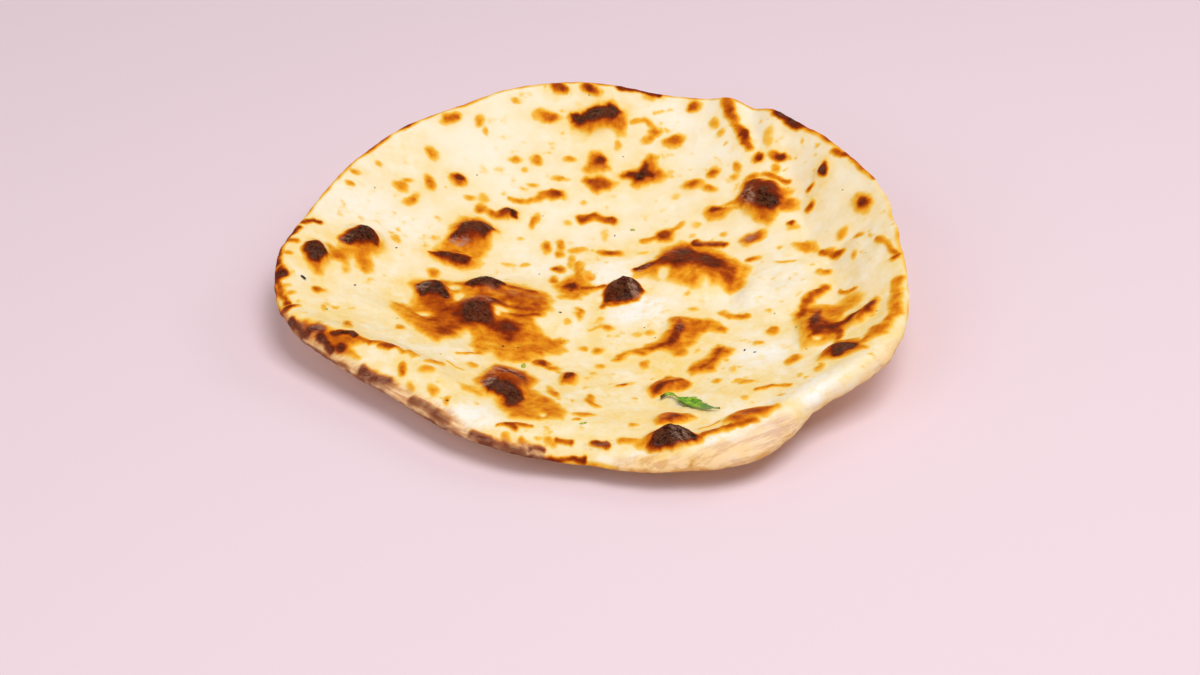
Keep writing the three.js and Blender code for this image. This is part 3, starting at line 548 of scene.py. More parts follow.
def fold_height(x, y):
    waves = sum(
        high * np.sin(x / length_x + phase_x) * np.sin(y / length_y + phase_y)
        for high, length_x, length_y, phase_x, phase_y in WAVES
    )
    folds = (high * fall_off(distance_to_path(x, y, path), width) for high, width, *path in FOLDS)
    return waves + sum(folds)


def underside_height(x, y):
    angle = np.arctan2(y, x)
    share = radius_share(x, y)
    rise = np.maximum(0, (share - FLAT) / (1 - FLAT))
    lip_start = around(LIP_START, angle)
    roll = np.maximum(0, (share - lip_start) / (1 - lip_start))
    lip = around(LIP_DROP, angle)
    dish = (around(RIM_HEIGHT, angle) + lip) * rise ** around(STEEPNESS, angle)
    folds = smoothstep(share, FLAT, FLAT + FADE) * fold_height(x, y)
    return dish - lip * (0.55 * roll ** 2 + 0.45 * roll ** 7) + folds


def underside_normal(x, y, step=0.4):
    slope_x = (underside_height(x + step, y) - underside_height(x - step, y)) / (2 * step)
    slope_y = (underside_height(x, y + step) - underside_height(x, y - step)) / (2 * step)
    normal = np.stack([-slope_x, -slope_y, np.ones_like(slope_x)], -1)
    return normal / np.linalg.norm(normal, axis=-1, keepdims=True)


def blister_height(x, y):
    return sum(
        high * (1 - np.minimum(1, ellipse(x, y, *shape)) ** roundness) ** 1.5
        for *shape, high, roundness in BLISTERS
    )


# ---- What the marks do to each point ------------------------------------------------------------

def warped(x, y, seed):
    """The points moved a little to and fro, so that painted outlines aren't smooth."""
    return x + layered_noise(x, y, seed, WARP), y + layered_noise(x, y, seed + 2, WARP)


def soft_edge(distance, softness):
    """1 well inside an outline and 0 well outside it."""
    return 1 - smoothstep(distance, -softness, softness)


def strength_of(x, y, patches, softness):
    """The strongest of some patches at each point, fading out softly."""
    strengths = [percent * soft_edge(ellipse(x, y, *shape) - 1, softness) for *shape, percent in patches]
    return np.max(strengths, 0) / 100


# How tan each point is where the rim turns down, and how much painted shade lies there.
def tan_and_shade_strength(x, y):
    strengths = [
        percent * soft_edge(distance_to_outline(x, y, outline), softness)
        for percent, softness, *outline in TAN_AND_SHADE_OUTLINES
    ]
    return np.max(strengths, 0) / 100


def scorch(x, y):
    """How hot the marks were at each point, and the faint yellow halo round them."""
    x, y = warped(x, y, 21)
    ragged = layered_noise(x, y, 25, RAGGED)
    total, halo = np.zeros_like(x), np.zeros_like(x)
    small = [(distance_to_ellipse(x, y, *spot), min(spot[2:4]), percent) for *spot, percent in SPOTS]
    small += [(distance_to_path(x, y, path) - wide, wide, percent) for wide, percent, *path in STREAKS]
    for outside, half_width, percent in small:
        heat = percent / 100
        # The soft edge is wider on a large mark and on a hot one.
        inner = min(0.7 * half_width, 1 + 3 * heat)
        outer = min(1.0 + 0.55 * half_width, 1.2 + 2.2 * heat)
        unevenness = ragged * min(1.0, 0.3 + 0.3 * half_width)
        total += (heat * (1 - smoothstep(outside + unevenness, -inner, outer))) ** UNION
        reach = HALO_REACH * min(1.0, 0.3 + 0.12 * half_width)
        halo = np.maximum(halo, heat * fall_off(outside, reach))
    for percent, softness, *outline in OUTLINES:
        heat = percent / 100
        (left, right), (front, back) = [
            (min(side) - 2 * HALO_REACH, max(side) + 2 * HALO_REACH) for side in zip(*outline)
        ]
        near = (x > left) & (x < right) & (y > front) & (y < back)
        outside = distance_to_outline(x[near], y[near], outline) + ragged[near]
        share = 1 - smoothstep(outside, -2.0 * softness, 2.4 * softness)
        total[near] += (heat * share) ** UNION
        halo[near] = np.maximum(halo[near], heat * fall_off(outside, HALO_REACH))
    heat = total ** (1 / UNION)
    for patch in PALE:
        heat = heat * (1 - PALE_SHARE * soft_edge(distance_to_ellipse(x, y, *patch), PALE_SOFTNESS))
    return heat, halo


def rim_scorch(x, y):
    angle = np.mod(np.arctan2(y, x), 2 * np.pi)
    reach = angle * MEAN_RADIUS
    uneven = 0.8 + 0.5 * noise(reach, 0 * angle, 7, 31)
    width = 1.0 + 0.6 * noise(reach, 0 * angle + 5, 11, 32)
    heat = around(RIM_HEAT, angle) / 100
    from_rim = (1 - radius_share(x, y)) * MEAN_RADIUS
    return heat * uneven * soft_edge(from_rim - width, RIM_SOFTNESS)


def burst_relief(x, y):
    relief = np.zeros_like(x)
    for *shape, lip, depth in BURSTS:
        share = ellipse(x, y, *shape) * (1 + 0.18 * noise(x, y, 1.6, 41))
        relief += lip * np.exp(-((share - 1) / BURST_LIP) ** 2) - depth * soft_edge(share - 0.8, 0.25)
    return relief


def upper_looks(x, y):
    """The painted attributes and the fine relief of the upper face."""
    marks, halo = scorch(x, y)
    fibres = noise(0.3 * x, y + 0.25 * x, 1.8, 53)
    uneven = layered_noise(x, y, 51, [(6, 0.12), (2.6, 0.08)]) + 0.04 * fibres
    heat = marks + uneven * smoothstep(marks, 0.1, 0.6)
    heat = np.maximum(heat, rim_scorch(x, y))
    charred = smoothstep(heat, *CHARRED)
    relief = layered_noise(x, y, 60, DOUGH_RELIEF)
    for i, (width, high) in enumerate(CHAR_RELIEF):
        relief = relief + charred * high * (0.5 - np.abs(noise(x, y, width, 70 + i)))
    relief = relief + BUBBLE_LIFT * smoothstep(marks, 0.1, 0.65) * (1 - 0.5 * charred)
    patch_x, patch_y = warped(x, y, 81)
    return {
        "scorch": heat,
        "ash_and_sheen": strength_of(patch_x, patch_y, ASH_AND_SHEEN, ASH_AND_SHEEN_SOFTNESS),
        "halo": halo,
        "forwards": 1.25 - 1.0 * smoothstep(y, -50, 80),
        "butter": strength_of(patch_x, patch_y, BUTTER, PATCH_SOFTNESS),
        "flour_and_highlight": strength_of(patch_x, patch_y, FLOUR_AND_HIGHLIGHT, PATCH_SOFTNESS),
        "tan_and_shade": tan_and_shade_strength(patch_x, patch_y),
        "relief": relief + burst_relief(x, y),
    }


def lower_looks(x, y):
    """The underside was pressed on the oven wall: evenly toasted, pitted and less blistered."""
    blotches = layered_noise(x, y, 91, [(16, 1.0), (7, 0.7), (3, 0.4)])
    heat = 0.16 + 0.5 * smoothstep(blotches, 0.25, 1.1)
    spots = smoothstep(layered_noise(x, y, 94, [(8, 1.0), (3, 0.5)]), 0.55, 0.95)
    heat = np.maximum(heat, 0.82 * spots)
    pits = smoothstep(noise(x, y, 4.2, 96), 0.25, 0.8)
    return {
        "scorch": np.maximum(heat, rim_scorch(x, y)),
        "ash_and_sheen": 0.25 * spots,
        "halo": np.full_like(x, 0.3),
        "forwards": np.ones_like(x),
        "butter": np.zeros_like(x),
        "flour_and_highlight": 0.6 * smoothstep(noise(x, y, 22, 98), 0.1, 0.8),
        "tan_and_shade": np.full_like(x, 0.2),
        "relief": 0.06 + 0.22 * pits + 0.05 * np.abs(noise(x, y, 2.2, 97)),
    }


def face_points(x, y, upper):
    """Points of the upper or lower face, and their painted attributes."""
    looks = upper_looks(x, y) if upper else lower_looks(x, y)
    share = radius_share(x, y)
    from_rim = (1 - share) * MEAN_RADIUS
    thickness = THICKNESS + (RIM_THICKNESS - THICKNESS) * smoothstep(share, 0.75, 1)
    openness = np.sqrt(1 - (1 - np.clip(from_rim / RIM_ROUNDING, 0, 1)) ** 2)
    relief = looks.pop("relief") * smoothstep(from_rim, 0, RELIEF_FADE)
    if upper:
        offset = thickness / 2 * (1 + openness) + blister_height(x, y) * openness + relief
    else:
        offset = thickness / 2 * (1 - openness) + relief
    base = np.stack([x, y, underside_height(x, y)], -1)
    return base + underside_normal(x, y) * offset[..., None], looks


# ---- The mesh of the bread ----------------------------------------------------------------------

def ring_shares(count):
    """Rings evenly spaced to where the rim's rounding starts, then evenly round the rounding."""
    start = 1 - RIM_ROUNDING / MEAN_RADIUS
    flat = np.linspace(0, start, count - ROUNDING_RINGS + 1)
    turn = np.linspace(0, np.pi / 2, ROUNDING_RINGS + 1)[1:]
    return np.concatenate([flat, 1 - (1 - start) * (1 - np.sin(turn))])


def ring_plan(shares):
    """The plan of one face: ring n has n * SECTORS points."""
    plan = []
    for ring, share in enumerate(shares):
        count = max(1, ring * SECTORS)
        angle = 2 * np.pi * np.arange(count) / count
        reach = share * rim_radius(angle)
        plan.append(np.stack([reach * np.cos(angle), reach * np.sin(angle)], -1))
    return plan


def triangles_of_rings(rings):
    """Triangles between the rings of one face, counterclockwise seen from above."""
    triangles = []
    for ring, (inner, outer) in enumerate(zip(rings, rings[1:]), 1):
        sector, step = np.meshgrid(np.arange(SECTORS), np.arange(ring), indexing="ij")
        out = sector * ring + step
        into = sector * (ring - 1) + step
        near, far = outer[out % len(outer)], outer[(out + 1) % len(outer)]
        back, front = inner[into % len(inner)], inner[(into + 1) % len(inner)]
        triangles.append(np.stack([near, far, back], -1).reshape(-1, 3))
        triangles.append(np.stack([far, front, back], -1)[step < ring - 1])
    return np.concatenate(triangles)


def triangles_of_band(rim, lower):
    """The band between the rim and the lower face, whose outer ring has half as many points."""
    i = np.arange(len(lower))
    corner, following = lower, np.roll(lower, -1)
    start, middle, end = [rim[(2 * i + step) % len(rim)] for step in range(3)]
    return np.concatenate([
        np.stack([corner, middle, start], -1),
        np.stack([corner, following, middle], -1),
        np.stack([following, end, middle], -1),
    ])


def halves(a, b, c, d):
    """Each four-cornered face as two triangles."""
    return np.concatenate([np.stack(corners, -1).reshape(-1, 3) for corners in ((a, b, c), (a, c, d))])


def mesh_object(name, points, triangles, material):
    """A smooth-shaded object from points in millimetres."""
    mesh = bpy.data.meshes.new(name)
    mesh.from_pydata((points * MM).tolist(), [], triangles.tolist())
    mesh.polygons.foreach_set("use_smooth", [True] * len(mesh.polygons))
    mesh.validate()
    mesh.materials.append(material)
    thing = bpy.data.objects.new(name, mesh)
    bpy.context.scene.collection.objects.link(thing)
    return thing


def paint(thing, name, values):
    attribute = thing.data.attributes.new(name, "FLOAT", "POINT")
    attribute.data.foreach_set("value", values.astype(np.float32))


# In the baking map the upper face is a large disc in one corner and the rest a small one.
UPPER_DISC = (0.43, 0.425)      # centre (on both axes) and radius
LOWER_DISC = (0.855, 0.14)
MAP_REACH = 132                 # mm from the origin to a disc's edge


def baking_map(thing, plan, upper_count):
    layer = thing.data.uv_layers.new(name="OFBake")
    corners = np.zeros(len(thing.data.loops), np.int32)
    thing.data.loops.foreach_get("vertex_index", corners)
    on_upper = np.repeat(np.arange(len(thing.data.polygons)) < upper_count, 3)[:, None]
    centre, radius = np.where(on_upper, UPPER_DISC, LOWER_DISC).T[..., None]
    layer.data.foreach_set("uv", (centre + radius * plan[corners] / MAP_REACH).astype(np.float32).ravel())


def make_naan():
    upper_plan = ring_plan(ring_shares(TOP_RINGS))
    lower_plan = ring_plan(ring_shares(TOP_RINGS // 2 + 1)[:-1])
    ends = np.cumsum([len(ring) for ring in upper_plan + lower_plan])
    rings = np.split(np.arange(ends[-1]), ends[:-1])
    upper, lower = rings[:len(upper_plan)], rings[len(upper_plan):]
    upper_points, upper_paint = face_points(*np.concatenate(upper_plan).T, True)
    lower_points, lower_paint = face_points(*np.concatenate(lower_plan).T, False)
    # Relief stays within the box round the CAD solid.
    points = np.clip(np.concatenate([upper_points, lower_points]), *np.array(cad_bounds) / MM)
    upper_triangles = triangles_of_rings(upper)
    lower_triangles = triangles_of_rings(lower)[:, ::-1]
    band = triangles_of_band(upper[-1], lower[-1])
    triangles = np.concatenate([upper_triangles, lower_triangles, band])
    naan = mesh_object("naan_bread", points, triangles, naan_material())
    for name in upper_paint:
        paint(naan, name, np.concatenate([upper_paint[name], lower_paint[name]]))
    baking_map(naan, np.concatenate(upper_plan + lower_plan), len(upper_triangles))
    return naan


# ---- Materials ----------------------------------------------------------------------------------

def linear(red, green, blue):
    """A colour given in ordinary 8-bit values, as the shaders take it."""
    parts = [value / 255 for value in (red, green, blue)]
    return tuple(p / 12.92 if p <= 0.04045 else ((p + 0.055) / 1.055) ** 2.4 for p in parts) + (1.0,)


CREAM = linear(255, 243, 218)
WHITE_FLOUR_AND_HIGHLIGHT = linear(255, 252, 245)
YELLOW = linear(250, 222, 152)
HALO_YELLOW = linear(252, 214, 116)
BUTTER_YELLOW = linear(250, 212, 108)
ASH_AND_SHEEN_BROWN = linear(166, 100, 66)
ASH_AND_SHEEN_GREY = linear(186, 146, 122)
TAN_SKIN_AND_SHADE = linear(250, 208, 156)
TAN_STREAK_AND_SHADE = linear(214, 150, 100)
TAN_CHAR_AND_SHADE = linear(128, 68, 44)
SPECK_BROWN = linear(120, 84, 50)
# Heat and colour, from raw dough to char.
CRUST_COLOURS = [
    (0.00, linear(252, 234, 198)), (0.13, linear(252, 222, 146)), (0.26, linear(249, 198, 80)),
    (0.40, linear(240, 160, 28)), (0.53, linear(214, 114, 8)), (0.66, linear(176, 74, 4)),
    (0.79, linear(136, 44, 2)), (0.93, linear(96, 28, 0)), (1.10, linear(48, 13, 0)),
]
LEAF_GREEN = linear(156, 198, 40)
LEAF_DEEP_GREEN = linear(76, 138, 16)
LEAF_SHADE = linear(44, 92, 14)
LEAF_TIP_GREEN = linear(112, 140, 82)
LEAF_STALK_BROWN = linear(70, 66, 22)
LEAF_VEIN = linear(176, 212, 96)
PAPER_PINK = linear(240, 218, 226)


def feed(socket, value):
    """Link a signal to a socket, or set the socket to a plain value."""
    if isinstance(value, Signal):
        socket.id_data.links.new(value.socket, socket)
    else:
        socket.default_value = value


def signal(tree, kind, output, inputs=(), **settings):
    """What a new node puts out."""
    made = tree.nodes.new(kind)
    for key, value in settings.items():
        setattr(made, key, value)
    for key, value in dict(inputs).items():
        feed(made.inputs[key], value)
    return Signal(made.outputs[output])


class Signal:
    """A number or colour that a node puts out. What is done with it adds nodes."""

    def __init__(self, socket):
        self.socket = socket

    def node(self, *kind_and_inputs, **settings):
        return signal(self.socket.id_data, *kind_and_inputs, **settings)

    def math(self, operation, other=0.0):
        return self.node("ShaderNodeMath", 0, {0: self, 1: other}, operation=operation)

    __add__ = partialmethod(math, "ADD")
    __sub__ = partialmethod(math, "SUBTRACT")
    __mul__ = partialmethod(math, "MULTIPLY")
    __abs__ = partialmethod(math, "ABSOLUTE")
    or_more = partialmethod(math, "MAXIMUM")
    above = partialmethod(math, "GREATER_THAN")

    def clamped(self):
        """The same signal, kept between 0 and 1."""
        self.socket.node.use_clamp = True
        return self

    def remap(self, low, high, new_low=0.0, new_high=1.0):
        limits = {"From Min": low, "From Max": high, "To Min": new_low, "To Max": new_high}
        return self.node("ShaderNodeMapRange", "Result", {"Value": self, **limits})

    def between(self, first, second):
        """The first colour where the signal is 0 and the second where it is 1."""
        return self.node("ShaderNodeMix", 2, {"Factor": self, 6: first, 7: second}, data_type="RGBA")

    def ramp(self, colours):
        low, high = colours[0][0], colours[-1][0]
        made = self.node("ShaderNodeValToRGB", "Color", {"Fac": self.remap(low, high)})
        stops = made.socket.node.color_ramp.elements
        while len(stops) < len(colours):
            stops.new(0.5)
        for stop, (place, colour) in zip(stops, colours):
            stop.position = (place - low) / (high - low)
            stop.color = colour
        return made

    def bump(self, strength=1.0):
        """The surface's normal where the signal is its height in metres."""
        inputs = {"Height": self, "Strength": strength, "Distance": 1.0}
        return self.node("ShaderNodeBump", "Normal", inputs)


class Shader:
    """A material, the signals that it starts from and its surface."""

    def __init__(self, name):
        self.material = bpy.data.materials.new(name)
        self.material.use_nodes = True
        self.tree = self.material.node_tree

    def painted(self, name):
        return signal(self.tree, "ShaderNodeAttribute", "Fac", attribute_name=name)

    def place(self):
        return signal(self.tree, "ShaderNodeTexCoord", "Object")

    def noise(self, width, detail=3.0, roughness=0.55, stretch=None):
        """Noise between 0 and 1 whose patches are about width millimetres wide.

        Stretch is a direction in radians from +X, and how far patches are drawn out along it.
        """
        place = self.place()
        if stretch:
            turn, length = stretch
            mapping = {"Vector": place, "Rotation": (0, 0, turn), "Scale": (length, 1, 1)}
            place = place.node("ShaderNodeMapping", "Vector", mapping, vector_type="TEXTURE")
        texture = {"Vector": place, "Scale": 1 / (width * MM), "Detail": detail, "Roughness": roughness}
        return place.node("ShaderNodeTexNoise", "Fac", texture)

    def specks(self, scale, chance):
        """1 on small specks. A metre holds scale cells, and chance is the share of them with a speck."""
        place = self.place()
        distance = place.node("ShaderNodeTexVoronoi", "Distance", {"Vector": place, "Scale": scale})
        colour = Signal(distance.socket.node.outputs["Color"])
        number = colour.node("ShaderNodeSeparateColor", "Red", {"Color": colour})
        return distance.remap(0.035, 0.06, 1.0, 0.0) * number.above(1 - chance)

    def surface(self, inputs):
        """Set the surface's inputs, and give the finished material."""
        for name, value in inputs.items():
            feed(self.tree.nodes["Principled BSDF"].inputs[name], value)
        return self.material


def naan_material():
    s = Shader("baked_dough")
    heat, halo, ash_and_sheen = s.painted("scorch"), s.painted("halo"), s.painted("ash_and_sheen")
    butter, flour_and_highlight, tan_and_shade = s.painted("butter"), s.painted("flour_and_highlight"), s.painted("tan_and_shade")

    # Fine noise roughens the outlines of the marks, more where the dough is browned.
    fine_heat = heat + (s.noise(1.6, 6, 0.7) - 0.5) * heat.remap(0.05, 0.45, 0.04, 0.30)
    # Soft golden freckles lie in drifts, and few of them where flour and the painted crest highlight lie.
    drift = s.noise(24, 2).remap(0.38, 0.58) * flour_and_highlight.remap(0.3, 0.8, 1.0, 0.2)
    freckles = s.noise(4.2, 2, 0.35, (0.15, 1.15)).remap(0.54, 0.78, 0.0, 0.34)
    fine_heat = fine_heat.or_more(freckles * drift)

    # Raw dough is cream, with yellower clouds, more of them towards the front.
    clouds = s.noise(15, 4, 0.6).remap(0.38, 0.60, 0.0, 0.5)
    clouds = clouds + s.noise(4.5, 4, 0.6).remap(0.40, 0.64, 0.0, 0.4)
    dough = (s.painted("forwards") * clouds).between(CREAM, YELLOW)
    halo = halo * s.noise(7, 4, 0.6).remap(0.35, 0.6, 0.4, 1.2)
    dough = (halo * 0.8).clamped().between(dough, HALO_YELLOW)
    # Flour whitens the dough; along the front-right crest the same white is a painted highlight.
    powder_and_highlight = (flour_and_highlight * s.noise(6, 5, 0.7).remap(0.34, 0.54)).clamped()
    dough = powder_and_highlight.between(dough, WHITE_FLOUR_AND_HIGHLIGHT)
    buttered = (butter * s.noise(6).remap(0.30, 0.58)).clamped()
    dough = (buttered * 0.85).between(dough, BUTTER_YELLOW)

    crust = fine_heat.ramp(CRUST_COLOURS)
    colour = fine_heat.remap(0.03, 0.24, 1.0, 0.0).between(crust, dough)
    # The skin that turned down is tan, and its marks are purple-brown rather than golden; both are partly
    # painted shade where that skin faces down and away from the light.
    lip = tan_and_shade.remap(0.70, 0.85)
    lip_streaks = lip * s.noise(2.0, 4, 0.6, (-0.64, 7.0))
    slope_streaks = lip.remap(0, 1, 1, 0) * s.noise(2.4, 4, 0.6, (0.52, 8.0))
    skin_and_shade = (lip_streaks + slope_streaks).remap(0.44, 0.60).between(TAN_SKIN_AND_SHADE, TAN_STREAK_AND_SHADE)
    skin_and_shade = fine_heat.remap(0.15, 0.85).between(skin_and_shade, TAN_CHAR_AND_SHADE)
    colour = (tan_and_shade * 0.9).between(colour, skin_and_shade)

    # Ash lies in streaks on the scorched domes, with painted highlight among it, and the char is paler on
    # its wrinkles, partly wear and partly painted highlight.
    charred = heat.remap(0.80, 1.0)
    wrinkles = abs(s.noise(1.7, 4, 0.6) - 0.5)
    wear_and_sheen = charred * wrinkles.remap(0.0, 0.05, 0.5, 0.0)
    streaks = s.noise(1.6, 5, 0.7, (-0.3, 3.0)).remap(0.46, 0.58, 0.0, 1.5)
    ash_and_sheen_cover = wear_and_sheen.or_more((ash_and_sheen.or_more(charred * 0.3) * streaks).clamped())
    colour = (ash_and_sheen_cover * 0.7).between(colour, ash_and_sheen.remap(0.2, 0.8).between(ASH_AND_SHEEN_BROWN, ASH_AND_SHEEN_GREY))
    # Bran and soot.
    colour = (s.specks(105.0, 0.28) * 0.55).between(colour, SPECK_BROWN)

    # Char glistens in patches, butter shines, and flour and ash, with the highlights painted among them,
    # are dull.
    glaze = (charred * 0.8).or_more(buttered * 0.5) * s.noise(3.0).remap(0.52, 0.60)
    # Pores in the dough, and wrinkles where the crust is charred.
    pores = (s.noise(0.9, 4, 0.6) + s.noise(2.6) * 2.0) * heat.remap(0.1, 1.0, 0.00012, 0.0004)
    depth = wrinkles * heat.remap(0.6, 1.0, 0.0, -0.0030)
    normal = (pores + depth).bump(0.9)
    return s.surface({
        "Base Color": colour,
        "Roughness": ash_and_sheen_cover * 0.20 + 0.60 + powder_and_highlight * 0.2,
        "Specular IOR Level": 0.08,
        "Subsurface Weight": 0.10,
        "Subsurface Radius": (1.0, 0.6, 0.35),
        "Subsurface Scale": 0.0025,
        "Coat Weight": glaze * ash_and_sheen_cover.remap(0, 1, 1, 0),
        "Coat Roughness": 0.24,
        "Normal": normal,
        "Coat Normal": normal,
    })


def leaf_material():
    s = Shader("coriander")
    along, across = s.painted("along"), s.painted("across")
    shade = s.noise(2.0, 4, 0.6)
    green = shade.remap(0.40, 0.58).between(LEAF_GREEN, LEAF_DEEP_GREEN)
    # Where one side of the blade curls, the green is darker: painted shade of the curl.
    curl_shade = across.remap(-0.9, -0.2, 1.0, 0.0) * along.remap(0.38, 0.46) * along.remap(0.52, 0.60, 1.0, 0.0)
    green = curl_shade.between(green, LEAF_SHADE)
    green = along.remap(0.62, 0.78, 0.0, 0.75).between(green, LEAF_TIP_GREEN)
    green = along.remap(0.06, 0.13, 1.0, 0.0).between(green, LEAF_STALK_BROWN)
    green = abs(across).remap(0.0, 0.14, 0.40, 0.0).between(green, LEAF_VEIN)
    return s.surface({
        "Base Color": green,
        "Roughness": 0.42,
        "Subsurface Weight": 0.12,
        "Subsurface Scale": 0.001,
        "Normal": (shade * 0.00025).bump(),
    })


def fleck_material(name, colour, second):
    s = Shader(name)
    mottled = s.noise(0.6).remap(0.35, 0.65).between(colour, second)
    return s.surface({"Base Color": mottled, "Roughness": 0.5})


# ---- The coriander leaf -------------------------------------------------------------------------

# The leaf's midrib in plan, from its broken stalk to its tip, and half its width there.
LEAF_STATIONS = [
    (27.6, -70.2, 0.4), (29.3, -68.2, 0.5), (30.9, -67.4, 1.1), (32.5, -68.2, 1.1),
    (33.8, -69.6, 0.8), (35.2, -71.0, 2.0), (36.9, -72.5, 3.3), (38.8, -74.0, 3.7),
    (40.6, -75.8, 2.9), (42.4, -77.8, 2.0), (44.3, -79.4, 1.6), (46.2, -80.5, 0.9),
    (48.1, -81.3, 0.5), (50.0, -81.9, 0.25),
]
LEAF_TEETH = 9
LEAF_TOOTH_DEPTH = 0.3          # share of the half width
LEAF_THICKNESS = 0.32
LEAF_CLEARANCE = 0.62
LEAF_WAVE = 0.5                 # height of the waves of the blade, and of its upturned sides
LEAF_VEIN_DEPTH = 0.2
LEAF_VEIN_WIDTH = 0.12          # share of the half width
LEAF_STEPS = 216
LEAF_COLUMNS = 16


def along_midrib(share):
    """Stations at shares of the leaf's length, and the midrib's direction there."""
    stations = np.array(LEAF_STATIONS)
    ends = 2 * stations[[0, -1]] - stations[[1, -2]]
    stations = np.vstack([ends[:1], stations, ends[1:]])
    place = share * (len(LEAF_STATIONS) - 1)
    first = np.minimum(place.astype(int), len(LEAF_STATIONS) - 2)
    return curve(*[stations[first + step] for step in range(4)], (place - first)[:, None])


def make_leaf():
    share, across = np.meshgrid(
        np.linspace(0, 1, LEAF_STEPS + 1), np.linspace(-1, 1, LEAF_COLUMNS + 1), indexing="ij"
    )
    share, across = share.ravel(), across.ravel()
    station, run = along_midrib(share)
    length = np.hypot(run[:, 0], run[:, 1])
    tooth = LEAF_TOOTH_DEPTH * (1 - np.mod(share * LEAF_TEETH, 1))
    sideways = across * station[:, 2] * (1 - tooth)
    x = station[:, 0] - run[:, 1] / length * sideways
    y = station[:, 1] + run[:, 0] / length * sideways
    bread = face_points(x, y, True)[0][:, 2]
    wave = LEAF_WAVE * (1 + np.sin(9 * share + 1.5 * across)) + LEAF_WAVE * across ** 2
    crinkle = 0.12 * noise(x * 3, y * 3, 3, 111)
    vein = LEAF_VEIN_DEPTH * np.exp(-(across / LEAF_VEIN_WIDTH) ** 2)
    lower = np.stack([x, y, bread + LEAF_CLEARANCE + np.maximum(0, wave + crinkle - vein)], -1)
    upper = lower + [0, 0, LEAF_THICKNESS]
    count = len(x)
    grid = np.arange(count).reshape(LEAF_STEPS + 1, LEAF_COLUMNS + 1)
    flat = halves(grid[:-1, :-1], grid[1:, :-1], grid[1:, 1:], grid[:-1, 1:])
    border = np.concatenate([grid[:-1, 0], grid[-1, :-1], grid[:0:-1, -1], grid[0, :0:-1]])
    after = np.roll(border, -1)
    wall = halves(border, after, after + count, border + count)
    triangles = np.concatenate([flat + count, flat[:, ::-1], wall])
    leaf = mesh_object("coriander", np.concatenate([lower, upper]), triangles, leaf_material())
    paint(leaf, "along", np.tile(share, 2))
    paint(leaf, "across", np.tile(across, 2))
    return leaf


# ---- Flecks and crumbs --------------------------------------------------------------------------

# Centre, half length, half width, turn and height.
GREEN_FLECKS = [
    (-26.5, -46, 1.9, 0.9, 80, 0.5), (-2.2, -92.5, 1.5, 0.6, 12, 0.35), (18.3, 49, 1.1, 0.7, -15, 0.35),
    (-105.5, -26, 0.9, 0.5, 60, 0.35), (-91.4, 55.7, 0.8, 0.4, -50, 0.3), (83.5, -28, 0.8, 0.5, -30, 0.3),
]
CRUMBS = [
    (-115.8, -8.6, 1.9, 0.6, -50, 0.7), (10.5, 46, 0.6, 0.3, 80, 0.3), (62, -37, 0.8, 0.35, 70, 0.3),
    (66, -39.5, 0.7, 0.35, 20, 0.3), (-12, -9, 0.6, 0.4, -20, 0.35), (-81, 24, 0.5, 0.4, 0, 0.3),
    (-96, -4, 0.7, 0.4, 20, 0.3), (-35, -34, 0.5, 0.45, 0, 0.3), (-29, -34, 0.4, 0.35, 0, 0.3),
    (22, -17.5, 0.35, 0.3, 0, 0.25), (-54.5, -80.5, 0.5, 0.4, 0, 0.35), (14, 88, 0.4, 0.3, 0, 0.25),
    (-49, 74, 0.45, 0.3, 0, 0.25), (-21, 20, 0.35, 0.3, 0, 0.25),
]
FLECK_SIDES = 10
FLECK_LEVELS = 5
FLECK_SINK = 0.1                # how deep they sit in the dough


def make_flecks(name, flecks, material, seed):
    """Small irregular lumps that lie on the bread, joined in one mesh."""
    random = np.random.default_rng(seed)
    rise = -np.cos(np.linspace(0, np.pi, FLECK_LEVELS))[:, None]
    girth = np.sqrt(np.maximum(0, 1 - rise ** 2)) + 0.05
    angle = np.linspace(0, 2 * np.pi, FLECK_SIDES, endpoint=False)
    grid = np.arange(FLECK_LEVELS * FLECK_SIDES).reshape(FLECK_LEVELS, FLECK_SIDES)
    following = np.roll(grid, -1, 1)
    side = np.arange(1, FLECK_SIDES - 1)
    cap = np.stack([0 * side, side, side + 1], -1)
    side_walls = halves(grid[:-1], following[:-1], following[1:], grid[1:])
    lump = np.concatenate([side_walls, cap[:, ::-1], cap + grid[-1, 0]])
    points = []
    for centre_x, centre_y, long, wide, turn, high in flecks:
        ground = face_points(np.array([centre_x], float), np.array([centre_y], float), True)[0]
        out = girth * random.uniform(0.8, 1.15, grid.shape)
        x, y = turned(long * out * np.cos(angle), wide * out * np.sin(angle), turn)
        lift = 0.5 * high * (1 + rise) - FLECK_SINK + 0 * out
        points.append(ground + np.stack([x, y, lift], -1).reshape(-1, 3))
    triangles = np.concatenate([lump + i * grid.size for i in range(len(flecks))])
    return mesh_object(name, np.concatenate(points), triangles, material)


# ---- Floor, lights and camera -------------------------------------------------------------------

CAMERA_PLACE = (0.0041, -0.9304, 0.6879)
CAMERA_TILT = 52.94             # degrees from straight down
CAMERA_LENS = 85
FLOOR_SIZE = 8
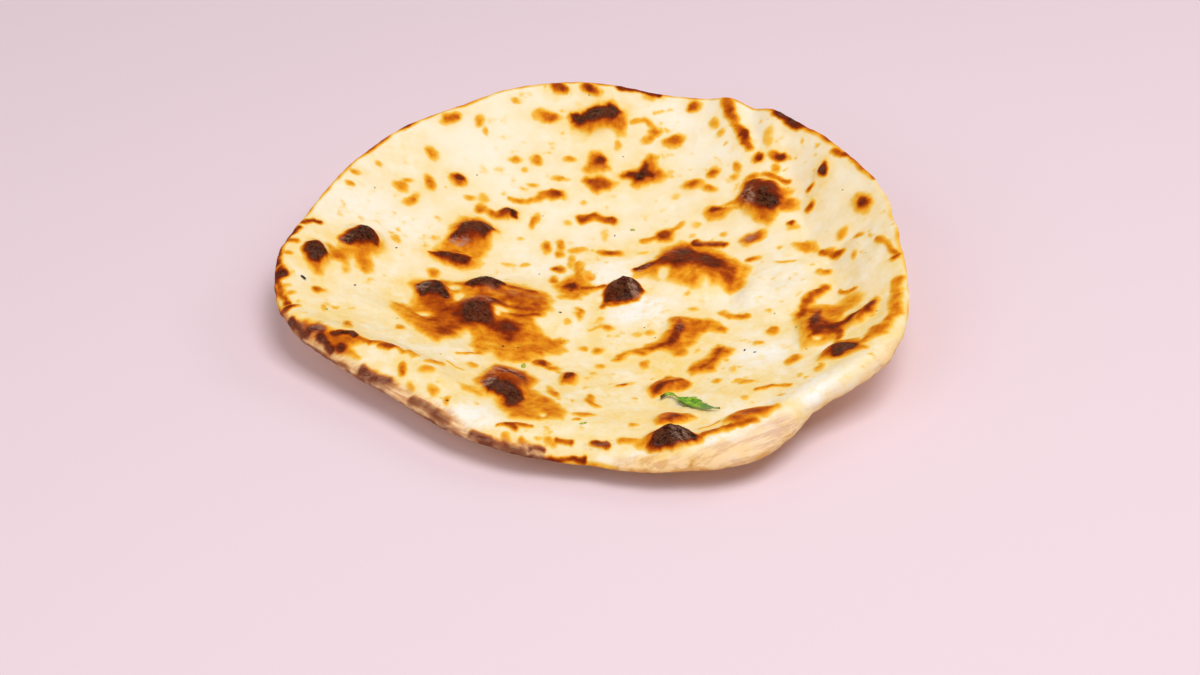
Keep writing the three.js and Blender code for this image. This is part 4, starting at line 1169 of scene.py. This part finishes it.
# Name, place, size, power and colour of each light. All of them face the bread.
LIGHTS = [
    ("key", (0.32, -0.36, 1.38), 0.8, 13.0, (1.0, 0.985, 0.96)),
    ("side", (1.10, 0.45, 0.90), 0.5, 2.4, (1.0, 0.99, 0.97)),
    ("fill", (-0.9, -0.7, 0.9), 1.0, 4.4, (0.97, 0.98, 1.0)),
]
SKY_COLOUR = (0.98, 0.95, 1.0, 1.0)
SKY_STRENGTH = 0.30


def make_floor():
    bpy.ops.mesh.primitive_plane_add(size=FLOOR_SIZE)
    floor = bpy.context.object
    floor.name = "floor"
    paper = Shader("pink_paper").surface({"Base Color": PAPER_PINK, "Roughness": 0.9})
    floor.data.materials.append(paper)


def make_light(name, place, size, power, colour):
    data = bpy.data.lights.new(name, "AREA")
    data.size = size
    data.energy = power
    data.color = colour
    light = bpy.data.objects.new(name, data)
    light.location = place
    light.rotation_euler = (-Vector(place)).to_track_quat("-Z", "Y").to_euler()
    bpy.context.scene.collection.objects.link(light)


def make_camera():
    data = bpy.data.cameras.new("camera")
    data.lens = CAMERA_LENS
    camera = bpy.data.objects.new("camera", data)
    camera.location = CAMERA_PLACE
    camera.rotation_euler = (math.radians(CAMERA_TILT), 0, 0)
    bpy.context.scene.collection.objects.link(camera)
    bpy.context.scene.camera = camera


def make_sky():
    world = bpy.data.worlds.new("studio")
    world.use_nodes = True
    sky = world.node_tree.nodes["Background"].inputs
    sky["Color"].default_value = SKY_COLOUR
    sky["Strength"].default_value = SKY_STRENGTH
    bpy.context.scene.world = world
    bpy.context.scene.view_settings.view_transform = "Standard"


make_camera()
make_floor()
for light in LIGHTS:
    make_light(*light)
make_sky()

naan = make_naan()
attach(naan, "root")
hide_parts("naan")

leaf = make_leaf()
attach(leaf, "root")
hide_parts("coriander_leaf")

green = fleck_material("herb_fleck", linear(206, 214, 66), linear(120, 140, 36))
flecks = make_flecks("herb_flecks", GREEN_FLECKS, green, 121)
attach(flecks, "root")

brown = fleck_material("burnt_crumb", linear(70, 38, 18), linear(38, 24, 16))
crumbs = make_flecks("burnt_crumbs", CRUMBS, brown, 122)
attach(crumbs, "root")
